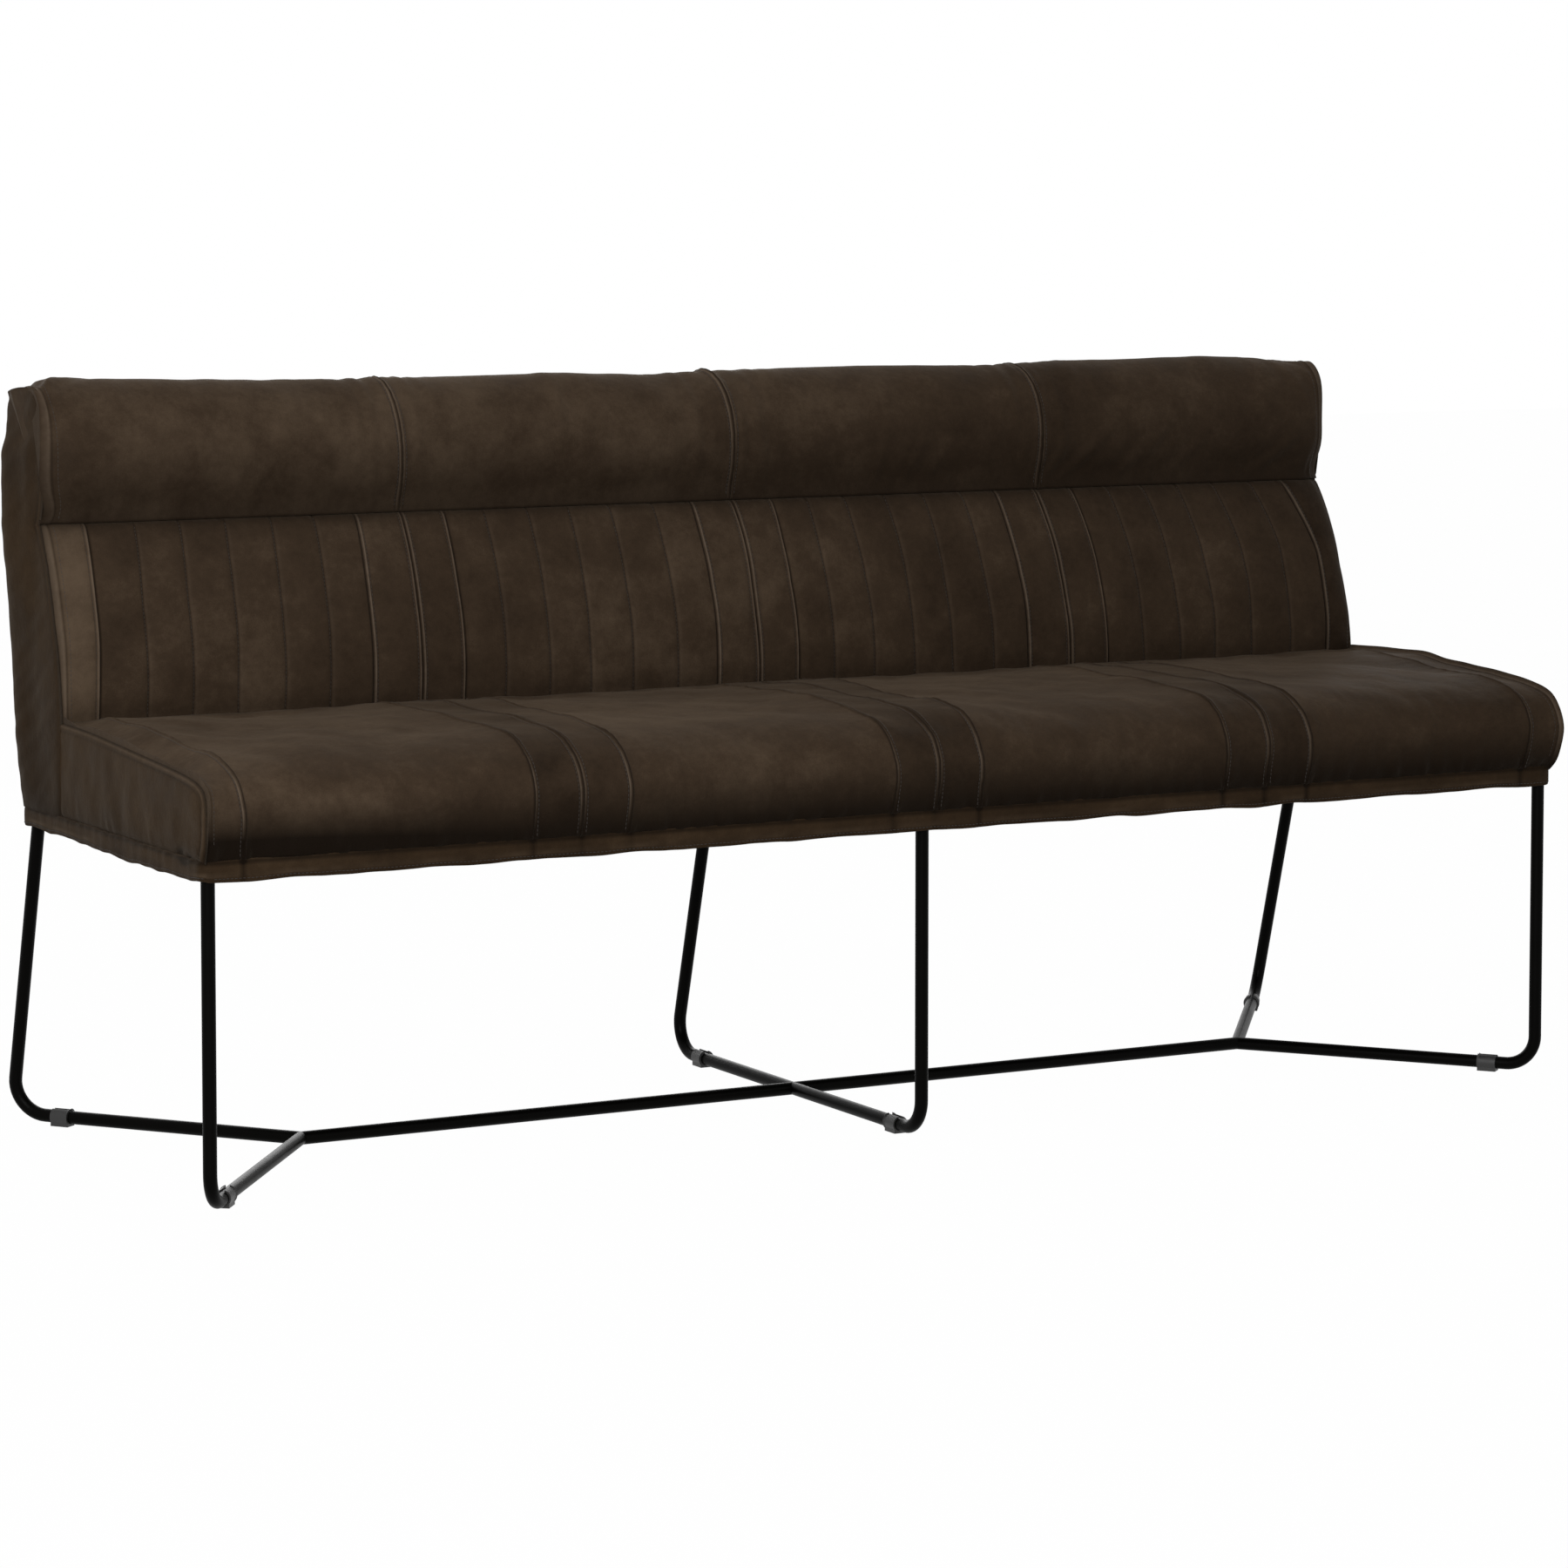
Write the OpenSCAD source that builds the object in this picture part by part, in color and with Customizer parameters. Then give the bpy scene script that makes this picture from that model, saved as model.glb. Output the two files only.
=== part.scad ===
// Upholstered dining sofa. A bent steel tube underframe stands on six clip-on glides and carries a
// wooden seat frame with a leaning back. Both are padded and covered in stitched leather.
// Millimetres, +X along the sofa, +Y towards the back, +Z up. The origin is on the floor, under
// the middle of the whole sofa.

/* [Sofa] */
// Length over the rolled hem
sofa_w = 1860; // [1400:10:2400]
// Depth of the upholstery over the hem, front to rear
seat_d = 570; // [550:2:640]
// Height of the seat's crown above the floor
seat_h = 524; // [510:2:550]
// Height of the top of the back above the floor
sofa_h = 910; // [880:2:980]
// Usable depth of the seat, from the front of the hem to the back
seat_reach = 438; // [420:2:442]
// Bays along the sofa, each between two double seams
bays = 4; // [3:1:6]

/* [Underframe] */
// Diameter of the round steel tube
tube_d = 16; // [12:1:20]
// Wall of the tube
tube_wall = 1.5; // [1:0.5:3]
// Radius of the bends, to the centre of the tube
bend_r = 38; // [28:1:60]
// Distance between the front and rear feet, centre to centre of the tube
foot_d = 636; // [600:2:700]
// Angle of the rear legs from upright, in degrees
rear_rake = 15.5; // [12:0.5:18]
// How far each joint of the floor frame lies in from the end legs
joint_in = 246; // [180:2:320]
// Width of the flat bars on the leg tops
bar_w = 25; // [20:1:40]
// Thickness of the flat bars
bar_t = 5; // [3:0.5:8]
// Height of the underside of the flat bars
bar_z = 379; // [350:1:390]
// Diameter of the coach screws that hold the flat bars
screw_d = 6; // [5:0.5:8]
// Length of those coach screws under the head
screw_len = 34; // [26:1:40]

/* [Glides] */
// Length of each clip-on floor glide
glide_len = 24; // [16:1:36]
// Wall of the glide's sleeve
glide_wall = 2; // [1.5:0.5:3]
// Thickness of the glide under the tube
glide_pad = 3; // [2:0.5:6]
// Width of the slit along the top of the glide
glide_slit = 5; // [3:0.5:8]
// How far the glide's end flares out
glide_flare = 1; // [0.5:0.5:2]

/* [Wooden frame] */
// Height of the seat frame's rails
rail_h = 45; // [40:1:50]
// Thickness of the seat frame's rails and of the back's posts
rail_t = 22; // [18:1:28]
// Depth of the back's posts, front to rear
post_d = 62; // [56:1:64]
// Thickness of the boards let into the posts
board_t = 18; // [12:1:22]
// Height of the boards let into the posts
board_h = 40; // [30:1:44]
// Diameter of the coach screws that hold the posts
bolt_d = 8; // [6:1:10]
// Length of the sides of the corner blocks
block_leg = 70; // [50:1:100]
// Width of the elastic webbing
web_w = 50; // [40:1:60]
// Thickness of the elastic webbing
web_t = 2; // [1:0.5:3]
// Webbing straps between two members of the frame
bay_webs = 4; // [3:1:6]

/* [Upholstery] */
// Thickness of the rolled hem
hem_t = 5; // [3:0.5:6]
// Height of the rolled hem
hem_h = 24; // [20:1:28]
// How far the hem hangs below the flat bars
hem_drop = 3; // [1:0.5:6]
// Thickness of the cloth under the seat frame
cloth_t = 1; // [0.5:0.5:2]
// How far the seat swells ahead of the hem
front_swell = 24; // [18:1:30]
// How far a wide panel of the seat swells between its seams
panel_swell = 8; // [5:1:10]
// How far a narrow strip of the seat swells between its seams
strip_swell = 2.5; // [1:0.5:4]
// Thickness of the seat's cover and wadding over the foam
seat_cover_t = 20; // [19:1:24]
// Height of the cross seam under the bolster
seam_z = 742; // [720:2:760]
// How far the cross seam lies behind the foot of the back
seam_back = 58; // [50:1:60]
// Depth of the sewn channels of the back
channel_deep = 4; // [2:0.5:6]
// How far the bolster's panels swell between their seams
bolster_swell = 4; // [2:0.5:6]
// Thickness of the back's cover and wadding over the foam
back_cover_t = 10; // [8:1:12]
// Thickness of the rear cover
rear_cover_t = 4; // [2:0.5:6]
// How far the back's cover is drawn in at its two ends
end_in = 25; // [15:1:26]
// Width of the rounding towards the two ends
end_round = 45; // [30:1:55]
// Angle of the back's rear face from upright, in degrees
back_lean = 5.5; // [5:0.5:6.5]

/* [Hidden] */

// Facets round a full circle
fine = 48;
// Clearance between soft pieces and what they touch
gap = 0.3;
// Clearance of screws, glides and coped tubes
fit = 0.1;
// How far every cut runs past the face it opens
over = 5;

// Turn of a tube's section, which keeps its start off the mitres
seam_turn = 45;
// Sides of the rear end tubes and steps round their bends
tube_sides = 32;
bend_steps = 12;

// Colours
leather = [0.23, 0.19, 0.16];
leather_dark = [0.18, 0.15, 0.12];
steel = [0.05, 0.05, 0.04];
zinc = [0.7, 0.7, 0.68];
wood = [0.78, 0.66, 0.48];
foam = [0.93, 0.88, 0.72];
cloth = [0.1, 0.1, 0.1];
plastic = [0.06, 0.06, 0.06];

// Blend from one value to another
function mix(a, b, t) = a + (b - a) * t;
function unit(v) = v / norm(v);

// Directions of the legs, upwards, and of the floor arms, away from the foot
up = [0, 0, 1];
rear_up = [0, -sin(rear_rake), cos(rear_rake)];
arm_y = foot_d / 2;
arm_len = norm([joint_in, arm_y]);
arm_front = [joint_in, arm_y, 0] / arm_len;
arm_rear = [joint_in, -arm_y, 0] / arm_len;
arm_turn = atan2(arm_y, joint_in);

// A bend between a leg and an arm: its angle, where it starts, and how far it reaches past the foot
function sweep_of(leg, arm) = 180 - acos(leg * arm);
function tangent_of(leg, arm) = bend_r * tan(sweep_of(leg, arm) / 2);
function hub_of(leg, arm) = unit(leg + arm) * bend_r / cos(sweep_of(leg, arm) / 2);
rear_axis = unit(cross(rear_up, arm_rear));
rear_out = hub_of(rear_up, arm_rear)[1] + bend_r * sqrt(1 - rear_axis[1] * rear_axis[1]) + tube_d / 2;

// Plan of the wooden seat frame, which the tubes stand flush with
frame_x = sofa_w / 2 - hem_t - gap;
corner_r = tube_d / 2;
hem_y = (front_swell - hem_t - gap - corner_r - foot_d - rear_out) / 2;
frame_front = hem_y + hem_t + gap;
frame_rear = hem_y + seat_d - hem_t - gap;
rail_in = frame_rear - rail_t;

// Heights
tube_z = glide_pad + tube_d / 2;
cloth_z = bar_z + bar_t;
frame_z = cloth_z + cloth_t;
frame_top = frame_z + rail_h;
hem_z = bar_z - hem_drop;
cover_z = hem_z + hem_h + gap;
pad_z = frame_top + web_t;

// Plan of the underframe
leg_x = frame_x - tube_d / 2;
foot_front = frame_front + tube_d / 2;
foot_rear = foot_front + foot_d;
rail_y = (foot_front + foot_rear) / 2;
joint_x = leg_x - joint_in;
leg_rise = bar_z - tube_z;
bar_rear = foot_rear - leg_rise * tan(rear_rake) + bar_w / 2;
bar_x = frame_x - bar_w / 2;

// Coach screws: shares of the bar's length where they stand, and sizes of the heads
screw_share = [0.14, 0.5, 0.86];
head_share = [5 / 3, 2 / 3];
pilot = screw_d / 2;

// Members of the wooden frame, as shares of its half length, and the bays between them
member_share = [-1, -0.5, 0, 0.5, 1];
member_end = frame_x - rail_t / 2;
lap_share = [0.3, 0.72];
grip_share = 0.9;

// Seams divide the length into equal strips
bay_strips = 8;
strips = bays * bay_strips;
strip_w = 2 * frame_x / strips;

// Front roll of the seat, as a nose with an upper and a lower curve
nose_rise = 50;
nose_z = cover_z + nose_rise;
roll_d = 176;
roll_power = 2.8;
tuck_turn = 65;
tuck_in = 24;
front_draw = 10;
end_drop = 16;
rear_drop = 3;
crown_share = 0.6;
rear_share = 0.4;
nose_y = hem_y - front_swell + panel_swell;
seam_top = seat_h - panel_swell * crown_share;
seat_end_y = hem_y + seat_reach;
foam_top = seam_top - seat_cover_t;

// Lines of the back, as seen from the side
back_foot_y = seat_end_y + gap;
seat_line_z = seam_top - rear_drop;
lumbar_share = 0.2;
lumbar_rise = 4;
panel_bow = (seam_back + lumbar_rise) / pow(1 - lumbar_share, 2);
rear_foot_y = hem_y + seat_d;
lean_run = tan(back_lean);
ridge_in = 133;
ridge_y = back_foot_y + ridge_in;
nose_in = 45;
bolster_y = back_foot_y + nose_in;
bolster_rise = 70;
bolster_z = seam_z + bolster_rise;
bolster_low = 120;
rear_seam_rise = 120;
rear_seam_z = seam_z + rear_seam_rise;
draw_rise = 80;
top_drop = 9;
end_power = 3.4;

// Posts and boards of the back
post_rise = 73;
post_top = seam_z + post_rise;
board_rise = 10;
board_z = [frame_top + board_rise, seam_z - board_h / 2, post_top - board_h];

// Rows and columns of the soft forms
lower_rows = 3;
roll_rows = 7;
top_rows = 5;
panel_rows = 8;
low_rows = 3;
quarter_rows = 5;
side_cols = 4;
side_edge = hem_t / 4;
side_swell = hem_t - side_edge - gap;

// Places of the rings along a bay, counted in strips and close together at the seams
bay_share = [0, 0.12, 0.5, 0.88, 1, 1.12, 2, 3, 4, 5, 6, 6.88, 7, 7.12, 7.5, 7.88];
channel_share = [0, 0.16, 0.5, 0.84];
bolster_share = [0, 0.25, 1, 2.5, 4, 5.5, 7, 7.75];
seat_at = concat([for (b = [0 : bays - 1]) for (s = bay_share) b * bay_strips + s], [strips]);
channel_at = concat([for (i = [0 : strips - 1]) for (s = channel_share) i + s], [strips]);
bolster_at = concat([for (b = [0 : bays - 1]) for (s = bolster_share) b * bay_strips + s], [strips]);
function x_at(i) = i * strip_w - frame_x;
function in_bay(i) = i - bay_strips * floor(i / bay_strips);

// Inner surfaces follow the drawn-in ends on a few rings only
inner_x = [-frame_x, end_round / 2 - frame_x, end_round - frame_x,
  frame_x - end_round, frame_x - end_round / 2, frame_x];
function nearest(list, x) = let (d = [for (i = list) abs(x_at(i) - x)]) search(min(d), d)[0];
function matched(list) = [for (x = inner_x) nearest(list, x)];

// How far the ends are drawn in, from 0 in the middle to 1 at the end
function drawn(x) = let (u = min(1, max(0, (abs(x) - frame_x + end_round) / end_round))) 1 - sqrt(1 - u * u);

// Swell of the seat at a place in a bay: narrow strips beside the double seams, a wide panel between
function hump(at, from, to) = sqrt(max(0, sin(180 * (at - from) / (to - from))));
function swell(at) = at < 1 ? strip_swell * hump(at, 0, 1) :
  at <= 7 ? panel_swell * hump(at, 1, 7) : strip_swell * hump(at, 7, bay_strips);
function puff(at) = bolster_swell * hump(at, 0, bay_strips);

// Cross-section of the seat, from the front's lower edge over the top to the back
function power_of(c, power) = pow(max(0, c), 2 / power);
function seat_curve(nose, low_in, top, lift) = concat(
  [for (k = [lower_rows : -1 : 1]) let (a = tuck_turn * k / lower_rows)
    [nose + low_in * (1 - cos(a)), nose_z - (nose_z - cover_z) * sin(a) / sin(tuck_turn)]],
  [for (k = [0 : roll_rows - 1]) let (a = 90 * k / (roll_rows - 1))
    [nose + roll_d * (1 - power_of(cos(a), roll_power)),
      nose_z + (top - nose_z) * power_of(sin(a), roll_power)]],
  [for (k = [1 : top_rows - 1]) let (t = k / (top_rows - 1))
    [mix(nose + roll_d, seat_end_y, t), top - lift * t * t]]
);
seat_pts = seat_curve(nose_y, tuck_in, seam_top, rear_drop);
seat_last = len(seat_pts) - 1;
roll_last = lower_rows + roll_rows - 1;
seat_inner = seat_curve(frame_front - gap, 0, foam_top, 0);

// A point of the seat's surface at a ring: the swell stands out along the curve
function seat_point(x, s, j) = let (
    p = seat_pts[j], e = drawn(x), a = 90 * min(1, max(0, j - lower_rows) / (roll_rows - 1)),
    t = j == 0 || j == seat_last ? 0 : s, rise = max(0, p[1] - nose_z) / (seam_top - nose_z),
    back = max(0, j - roll_last) / (top_rows - 1)
  ) [x, p[0] - t * cos(a) + front_draw * e * max(0, cos(a)),
    p[1] + t * crown_share * sin(a) - end_drop * e * rise * mix(1, rear_share, back)];

// Front of the back below the cross seam
function panel_y(z) = let (t = max(0, (z - seat_line_z) / (seam_z - seat_line_z)))
  back_foot_y - lumbar_rise + panel_bow * pow(t - lumbar_share, 2) +
  (lumbar_rise - panel_bow * lumbar_share * lumbar_share) * max(0, 1 - 5 * t);
function end_back(z) = end_in * min(1, max(0, (z - seat_line_z) / draw_rise));
function panel_z(j) = j == 0 ? foam_top : mix(seat_line_z, seam_z, (j - 1) / (panel_rows - 1));
function rear_y(z) = rear_foot_y + (z - cover_z) * lean_run;
function post_rear(z) = rear_y(z) - rear_cover_t - gap;
function post_front(z) = post_rear(z) - post_d;

// Section of the bolster from the cross seam over the ridge to the rear seam, drawn in by e
function bolster_curve(inset, e) = let (
    power = mix(2, end_power, e), nose = bolster_y + inset + end_in * e,
    run = ridge_y - nose, rise = sofa_h - bolster_swell - inset - top_drop * e - bolster_z,
    rear = rear_y(rear_seam_z) - inset - ridge_y,
    low = asin((bolster_z - seam_z - gap) / bolster_low)
  ) concat(
  [for (k = [low_rows : -1 : 1]) let (a = low * k / low_rows)
    [ridge_y - run * cos(a), bolster_z - bolster_low * sin(a)]],
  [for (k = [0 : quarter_rows]) let (a = 90 * k / quarter_rows)
    [ridge_y - run * power_of(cos(a), power), bolster_z + rise * power_of(sin(a), power)]],
  [for (k = [quarter_rows - 1 : -1 : 0]) let (a = 90 * k / quarter_rows)
    [ridge_y + rear * power_of(cos(a), power),
      rear_seam_z + (bolster_z + rise - rear_seam_z) * power_of(sin(a), power)]]
);
bolster_last = low_rows + 2 * quarter_rows;
ridge = low_rows + quarter_rows;

// A puffed bolster panel stands forward and up between its seams
function bolster_row(x, s) = let (c = bolster_curve(0, drawn(x)))
  [for (j = [0 : bolster_last]) let (a = 180 * j / bolster_last, t = j == 0 || j == bolster_last ? 0 : s)
    [x, c[j][0] - t * max(0, cos(a)), c[j][1] + t * sin(a)]];

// A closed sheet: rings of an outer surface, rings of an inner one that match some of them, and
// strips of triangles round the edge
function skin(a, b, m) = [for (j = [0 : m - 2]) each
  [[a + j, a + j + 1, b + j + 1], [a + j, b + j + 1, b + j]]];
function lining(a, b, m) = [for (j = [0 : m - 2]) each
  [[a + j, b + j + 1, a + j + 1], [a + j, b + j, b + j + 1]]];
module sheet(outer, inner, rings) {
  m = len(outer[0]);
  n = len(outer) - 1;
  k = len(inner) - 1;
  e = m - 1;
  base = m * (n + 1);
  last = base + k * m;
  edges = [for (s = [0 : k - 1]) let (a = base + s * m, b = a + m) each concat(
    [for (i = [rings[s] : rings[s + 1] - 1]) each [
      [i * m, (i + 1) * m, a], [(i + 1) * m + e, i * m + e, a + e]]],
    [[rings[s + 1] * m, b, a], [rings[s + 1] * m + e, a + e, b + e]])];
  caps = [for (j = [0 : e - 1]) each [
    [j + 1, j, base + j], [j + 1, base + j, base + j + 1],
    [n * m + j, n * m + j + 1, last + j + 1], [n * m + j, last + j + 1, last + j]]];
  polyhedron(
    concat([for (r = outer) each r], [for (r = inner) each r]),
    concat([for (i = [0 : n - 1]) each skin(i * m, (i + 1) * m, m)],
      [for (i = [0 : k - 1]) each lining(base + i * m, base + (i + 1) * m, m)], edges, caps));
}

// A profile given as [y, z] points, drawn from one place along the sofa for a length
module profile(x, length, points) {
  translate([x, 0, 0]) rotate([90, 0, 90]) linear_extrude(length) polygon(points);
}

// Plan outline of the wooden seat frame, grown by a distance, with rounded corners
module frame_plan(grow, z, h) {
  half = (frame_rear - frame_front) / 2;
  translate([0, frame_front + half, z]) union() {
    for (sx = [-1, 1]) for (sy = [-1, 1])
      translate([sx * (frame_x - corner_r), sy * (half - corner_r), 0])
        cylinder(r = corner_r + grow, h = h, $fn = fine);
    translate([corner_r - frame_x, -half - grow, 0])
      cube([2 * (frame_x - corner_r), 2 * (half + grow), h]);
    translate([-frame_x - grow, corner_r - half, 0])
      cube([2 * (frame_x + grow), 2 * (half - corner_r), h]);
  }
}

// Turns +Z to a direction and +X towards a second one
module aim(at, z, x) {
  y = unit(cross(z, x));
  u = cross(y, z);
  multmatrix([[u[0], y[0], z[0], at[0]], [u[1], y[1], z[1], at[1]], [u[2], y[2], z[2], at[2]],
    [0, 0, 0, 1]]) children();
}

// The round section of a tube or of its bore
module ring(d) {
  rotate(seam_turn) circle(d = d, $fn = fine);
}

// A round rod up a leg, round the bend at the foot and out along a floor arm. It is drawn flat
// round the hub of the bend, with the arm on the near side, and then put in place
module bent_rod(foot, leg, leg_len, arm, arm_run, d) {
  sweep = sweep_of(leg, arm);
  reach = tangent_of(leg, arm);
  hub = foot + hub_of(leg, arm);
  aim(hub, unit(cross(leg, arm)), foot + arm * reach - hub) {
    rotate_extrude(angle = sweep, $fn = 2 * fine) translate([bend_r, 0]) ring(d);
    translate([bend_r, 0, 0]) rotate([90, 0, 0]) linear_extrude(arm_run - reach) ring(d);
    rotate([0, 0, sweep]) translate([bend_r, 0, 0]) rotate([90, 0, 0])
      translate([0, 0, reach - leg_len]) linear_extrude(leg_len - reach) ring(d);
  }
}

// Everything above the underside of the flat bars, to cut the leg tops level
module above_bars() {
  translate([-sofa_w, -seat_d, bar_z]) cube([2 * sofa_w, 2 * seat_d, seat_h]);
}

// What lies past the mitre lines of a floor joint, one half of the plan for each line
module past_mitre(turns) {
  for (a = turns) translate([-joint_x, rail_y, tube_z]) rotate([0, 0, a])
    translate([-foot_d, 0, -tube_d]) cube([2 * foot_d, foot_d, 2 * tube_d]);
}
rail_turn = (180 - arm_turn) / 2;

// One end leg with its floor arm, on the left, mitred at the floor joint
module end_leg(y, leg, arm, turns) {
  foot = [-leg_x, y, tube_z];
  rise = leg_rise / leg[2] + tube_d;
  run = arm_len + tube_d;
  difference() {
    bent_rod(foot, leg, rise, arm, run, tube_d);
    bent_rod(foot, leg, rise + over, arm, run + over, tube_d - 2 * tube_wall);
    above_bars();
    past_mitre(turns);
  }
}
module front_leg() { color(steel) end_leg(foot_front, up, arm_front, [0, -rail_turn]); }
// Rings of points along the rear end tube, from the level cut at its top, round the bend and out
// to the floor joint, where two flat faces meet on an upright ridge. The points start at the
// ridge, so that every face of the tube is flat
function slide(p, dir, q, face) = p + dir * (((q - p) * face) / (dir * face));
function slide_far(p, dir, q, near, far) = let (
    s = ((q - p) * near) / (dir * near), t = ((q - p) * far) / (dir * far)
  ) p + dir * min(s, t);
function circle_at(c, out, side, r, start) = [for (k = [0 : tube_sides - 1])
  let (a = start + 360 * k / tube_sides) c + r * (cos(a) * out + sin(a) * side)];
function tube_rings(foot, leg, arm, r) = let (
    sweep = sweep_of(leg, arm), hub = foot + hub_of(leg, arm), side = unit(cross(leg, arm)),
    at_leg = unit(foot + leg * tangent_of(leg, arm) - hub),
    at_arm = unit(foot + arm * tangent_of(leg, arm) - hub),
    start = atan2(up * side, up * at_arm),
    bend = [for (i = [0 : bend_steps]) let (
        a = sweep * i / bend_steps,
        out = (at_leg * sin(sweep - a) + at_arm * sin(a)) / sin(sweep)
      ) circle_at(hub + out * bend_r, out, side, r, start)],
    joint = [-joint_x, rail_y, tube_z]
  ) concat([[for (p = bend[0]) slide(p, leg, [0, 0, bar_z], up)]], bend,
    [[for (p = bend[bend_steps])
      slide_far(p, arm, joint, [0, 1, 0], [sin(rail_turn), -cos(rail_turn), 0])]]);
module rear_leg() {
  foot = [-leg_x, foot_rear, tube_z];
  outer = tube_rings(foot, rear_up, arm_rear, tube_d / 2);
  inner = tube_rings(foot, rear_up, arm_rear, tube_d / 2 - tube_wall);
  m = tube_sides;
  last = (len(outer) - 1) * m;
  bore = len(outer) * m;
  color(steel) polyhedron(
    concat([for (r = outer) each r], [for (r = inner) each r]),
    concat(
      [for (i = [0 : m : last - m]) for (k = [0 : m - 1]) let (n = (k + 1) % m)
        [i + k, i + n, i + m + n, i + m + k]],
      [for (i = [bore : m : bore + last - m]) for (k = [0 : m - 1]) let (n = (k + 1) % m)
        [i + k, i + m + k, i + m + n, i + n]],
      [for (k = [0 : m - 1]) let (n = (k + 1) % m) [k, bore + k, bore + n, n]],
      [for (k = [0 : m - 1]) let (n = (k + 1) % m)
        [last + k, last + n, bore + last + n, bore + last + k]]
    ));
}
module leg_front_left() { front_leg(); }
module leg_rear_left() { rear_leg(); }
module leg_front_right() { mirror([1, 0, 0]) front_leg(); }
module leg_rear_right() { mirror([1, 0, 0]) rear_leg(); }

// The middle legs, whose floor arms run square to the rail and butt in its middle. Their rods are
// drawn piece by piece where they stand
module square_rod(foot, leg, leg_len, arm, arm_run, d) {
  reach = tangent_of(leg, arm);
  hub = foot + hub_of(leg, arm);
  aim(foot + leg * reach, leg, arm) cylinder(d = d, h = leg_len - reach, $fn = fine);
  aim(foot + arm * reach, arm, leg) cylinder(d = d, h = arm_run - reach, $fn = fine);
  aim(hub, unit(cross(leg, arm)), foot + arm * reach - hub)
    rotate_extrude(angle = sweep_of(leg, arm), $fn = 2 * fine)
      translate([bend_r, 0]) circle(d = d, $fn = fine);
}
module middle_leg(y, leg, arm) {
  foot = [0, y, tube_z];
  rise = leg_rise / leg[2] + tube_d;
  color(steel) difference() {
    square_rod(foot, leg, rise, arm, arm_y, tube_d);
    square_rod(foot, leg, rise + over, arm, arm_y + over, tube_d - 2 * tube_wall);
    above_bars();
  }
}
module leg_front_middle() { middle_leg(foot_front, up, [0, 1, 0]); }
module leg_rear_middle() { middle_leg(foot_rear, rear_up, [0, -1, 0]); }

// Half of the floor rail, mitred at the joint and coped round the middle legs' floor arms
module floor_rail() {
  color(steel) difference() {
    translate([-joint_x - tube_d, rail_y, tube_z]) rotate([0, 90, 0]) difference() {
      cylinder(d = tube_d, h = joint_x + tube_d, $fn = fine);
      translate([0, 0, -over])
        cylinder(d = tube_d - 2 * tube_wall, h = joint_x + tube_d + 2 * over, $fn = fine);
    }
    past_mitre([rail_turn, 180 - rail_turn]);
    translate([0, rail_y + tube_d, tube_z]) rotate([90, 0, 0])
      cylinder(d = tube_d + 2 * fit, h = 2 * tube_d, $fn = fine);
  }
}
module floor_rail_left() { floor_rail(); }
module floor_rail_right() { mirror([1, 0, 0]) floor_rail(); }

// Places of the coach screws on one bar, and their holes up to a height
function screw_y(s) = mix(frame_front, bar_rear, s);
module screw_holes(x, top) {
  for (s = screw_share) translate([x, screw_y(s), bar_z - over])
    cylinder(d = screw_d + 2 * fit, h = top - bar_z + over, $fn = fine);
}
module top_bar(x) {
  color(steel) difference() {
    intersection() {
      translate([x - bar_w / 2, frame_front, bar_z]) cube([bar_w, bar_rear - frame_front, bar_t]);
      frame_plan(0, bar_z, bar_t);
    }
    screw_holes(x, cloth_z + over);
  }
}
module top_bar_left() { top_bar(-bar_x); }
module top_bar_middle() { top_bar(0); }
module top_bar_right() { top_bar(bar_x); }

// A coach screw with a hexagon head that rests on the plane z = 0 and points up
module coach_screw(d, length) {
  cylinder(d = d, h = length, $fn = fine);
  translate([0, 0, -d * head_share[1]])
    cylinder(d = d * head_share[0] / cos(30), h = d * head_share[1], $fn = 6);
}
module frame_screws() {
  color(zinc) for (x = [-bar_x, 0, bar_x]) for (s = screw_share)
    translate([x, screw_y(s), bar_z]) coach_screw(screw_d, screw_len);
}

// Floor glide: a split sleeve on a flat foot, clipped on an arm just past the bend
module glide(foot, leg, arm) {
  reach = tangent_of(leg, arm) + glide_len;
  sleeve = tube_d + 2 * glide_wall;
  at = foot + arm * reach;
  color(plastic) translate([at[0], at[1], 0]) rotate([0, 0, atan2(arm[1], arm[0])]) difference() {
    union() {
      translate([-glide_len / 2, 0, tube_z]) rotate([0, 90, 0])
        cylinder(d = sleeve, h = glide_len, $fn = fine);
      translate([glide_len / 2 - glide_wall, 0, tube_z]) rotate([0, 90, 0])
        cylinder(d1 = sleeve, d2 = sleeve + 2 * glide_flare, h = glide_wall, $fn = fine);
      translate([-glide_len / 2, -tube_d / 2, 0]) cube([glide_len, tube_d, tube_z]);
    }
    translate([-glide_len / 2 - over, 0, tube_z]) rotate([0, 90, 0])
      cylinder(d = tube_d + 2 * fit, h = glide_len + 2 * over, $fn = fine);
    translate([-glide_len / 2 - over, -glide_slit / 2, tube_z])
      cube([glide_len + 2 * over, glide_slit, tube_d]);
  }
}
module front_glide() { glide([-leg_x, foot_front, 0], up, arm_front); }
module rear_glide() { glide([-leg_x, foot_rear, 0], rear_up, arm_rear); }
module glide_front_left() { front_glide(); }
module glide_rear_left() { rear_glide(); }
module glide_front_middle() { glide([0, foot_front, 0], up, [0, 1, 0]); }
module glide_rear_middle() { glide([0, foot_rear, 0], rear_up, [0, -1, 0]); }
module glide_front_right() { mirror([1, 0, 0]) front_glide(); }
module glide_rear_right() { mirror([1, 0, 0]) rear_glide(); }

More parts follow.
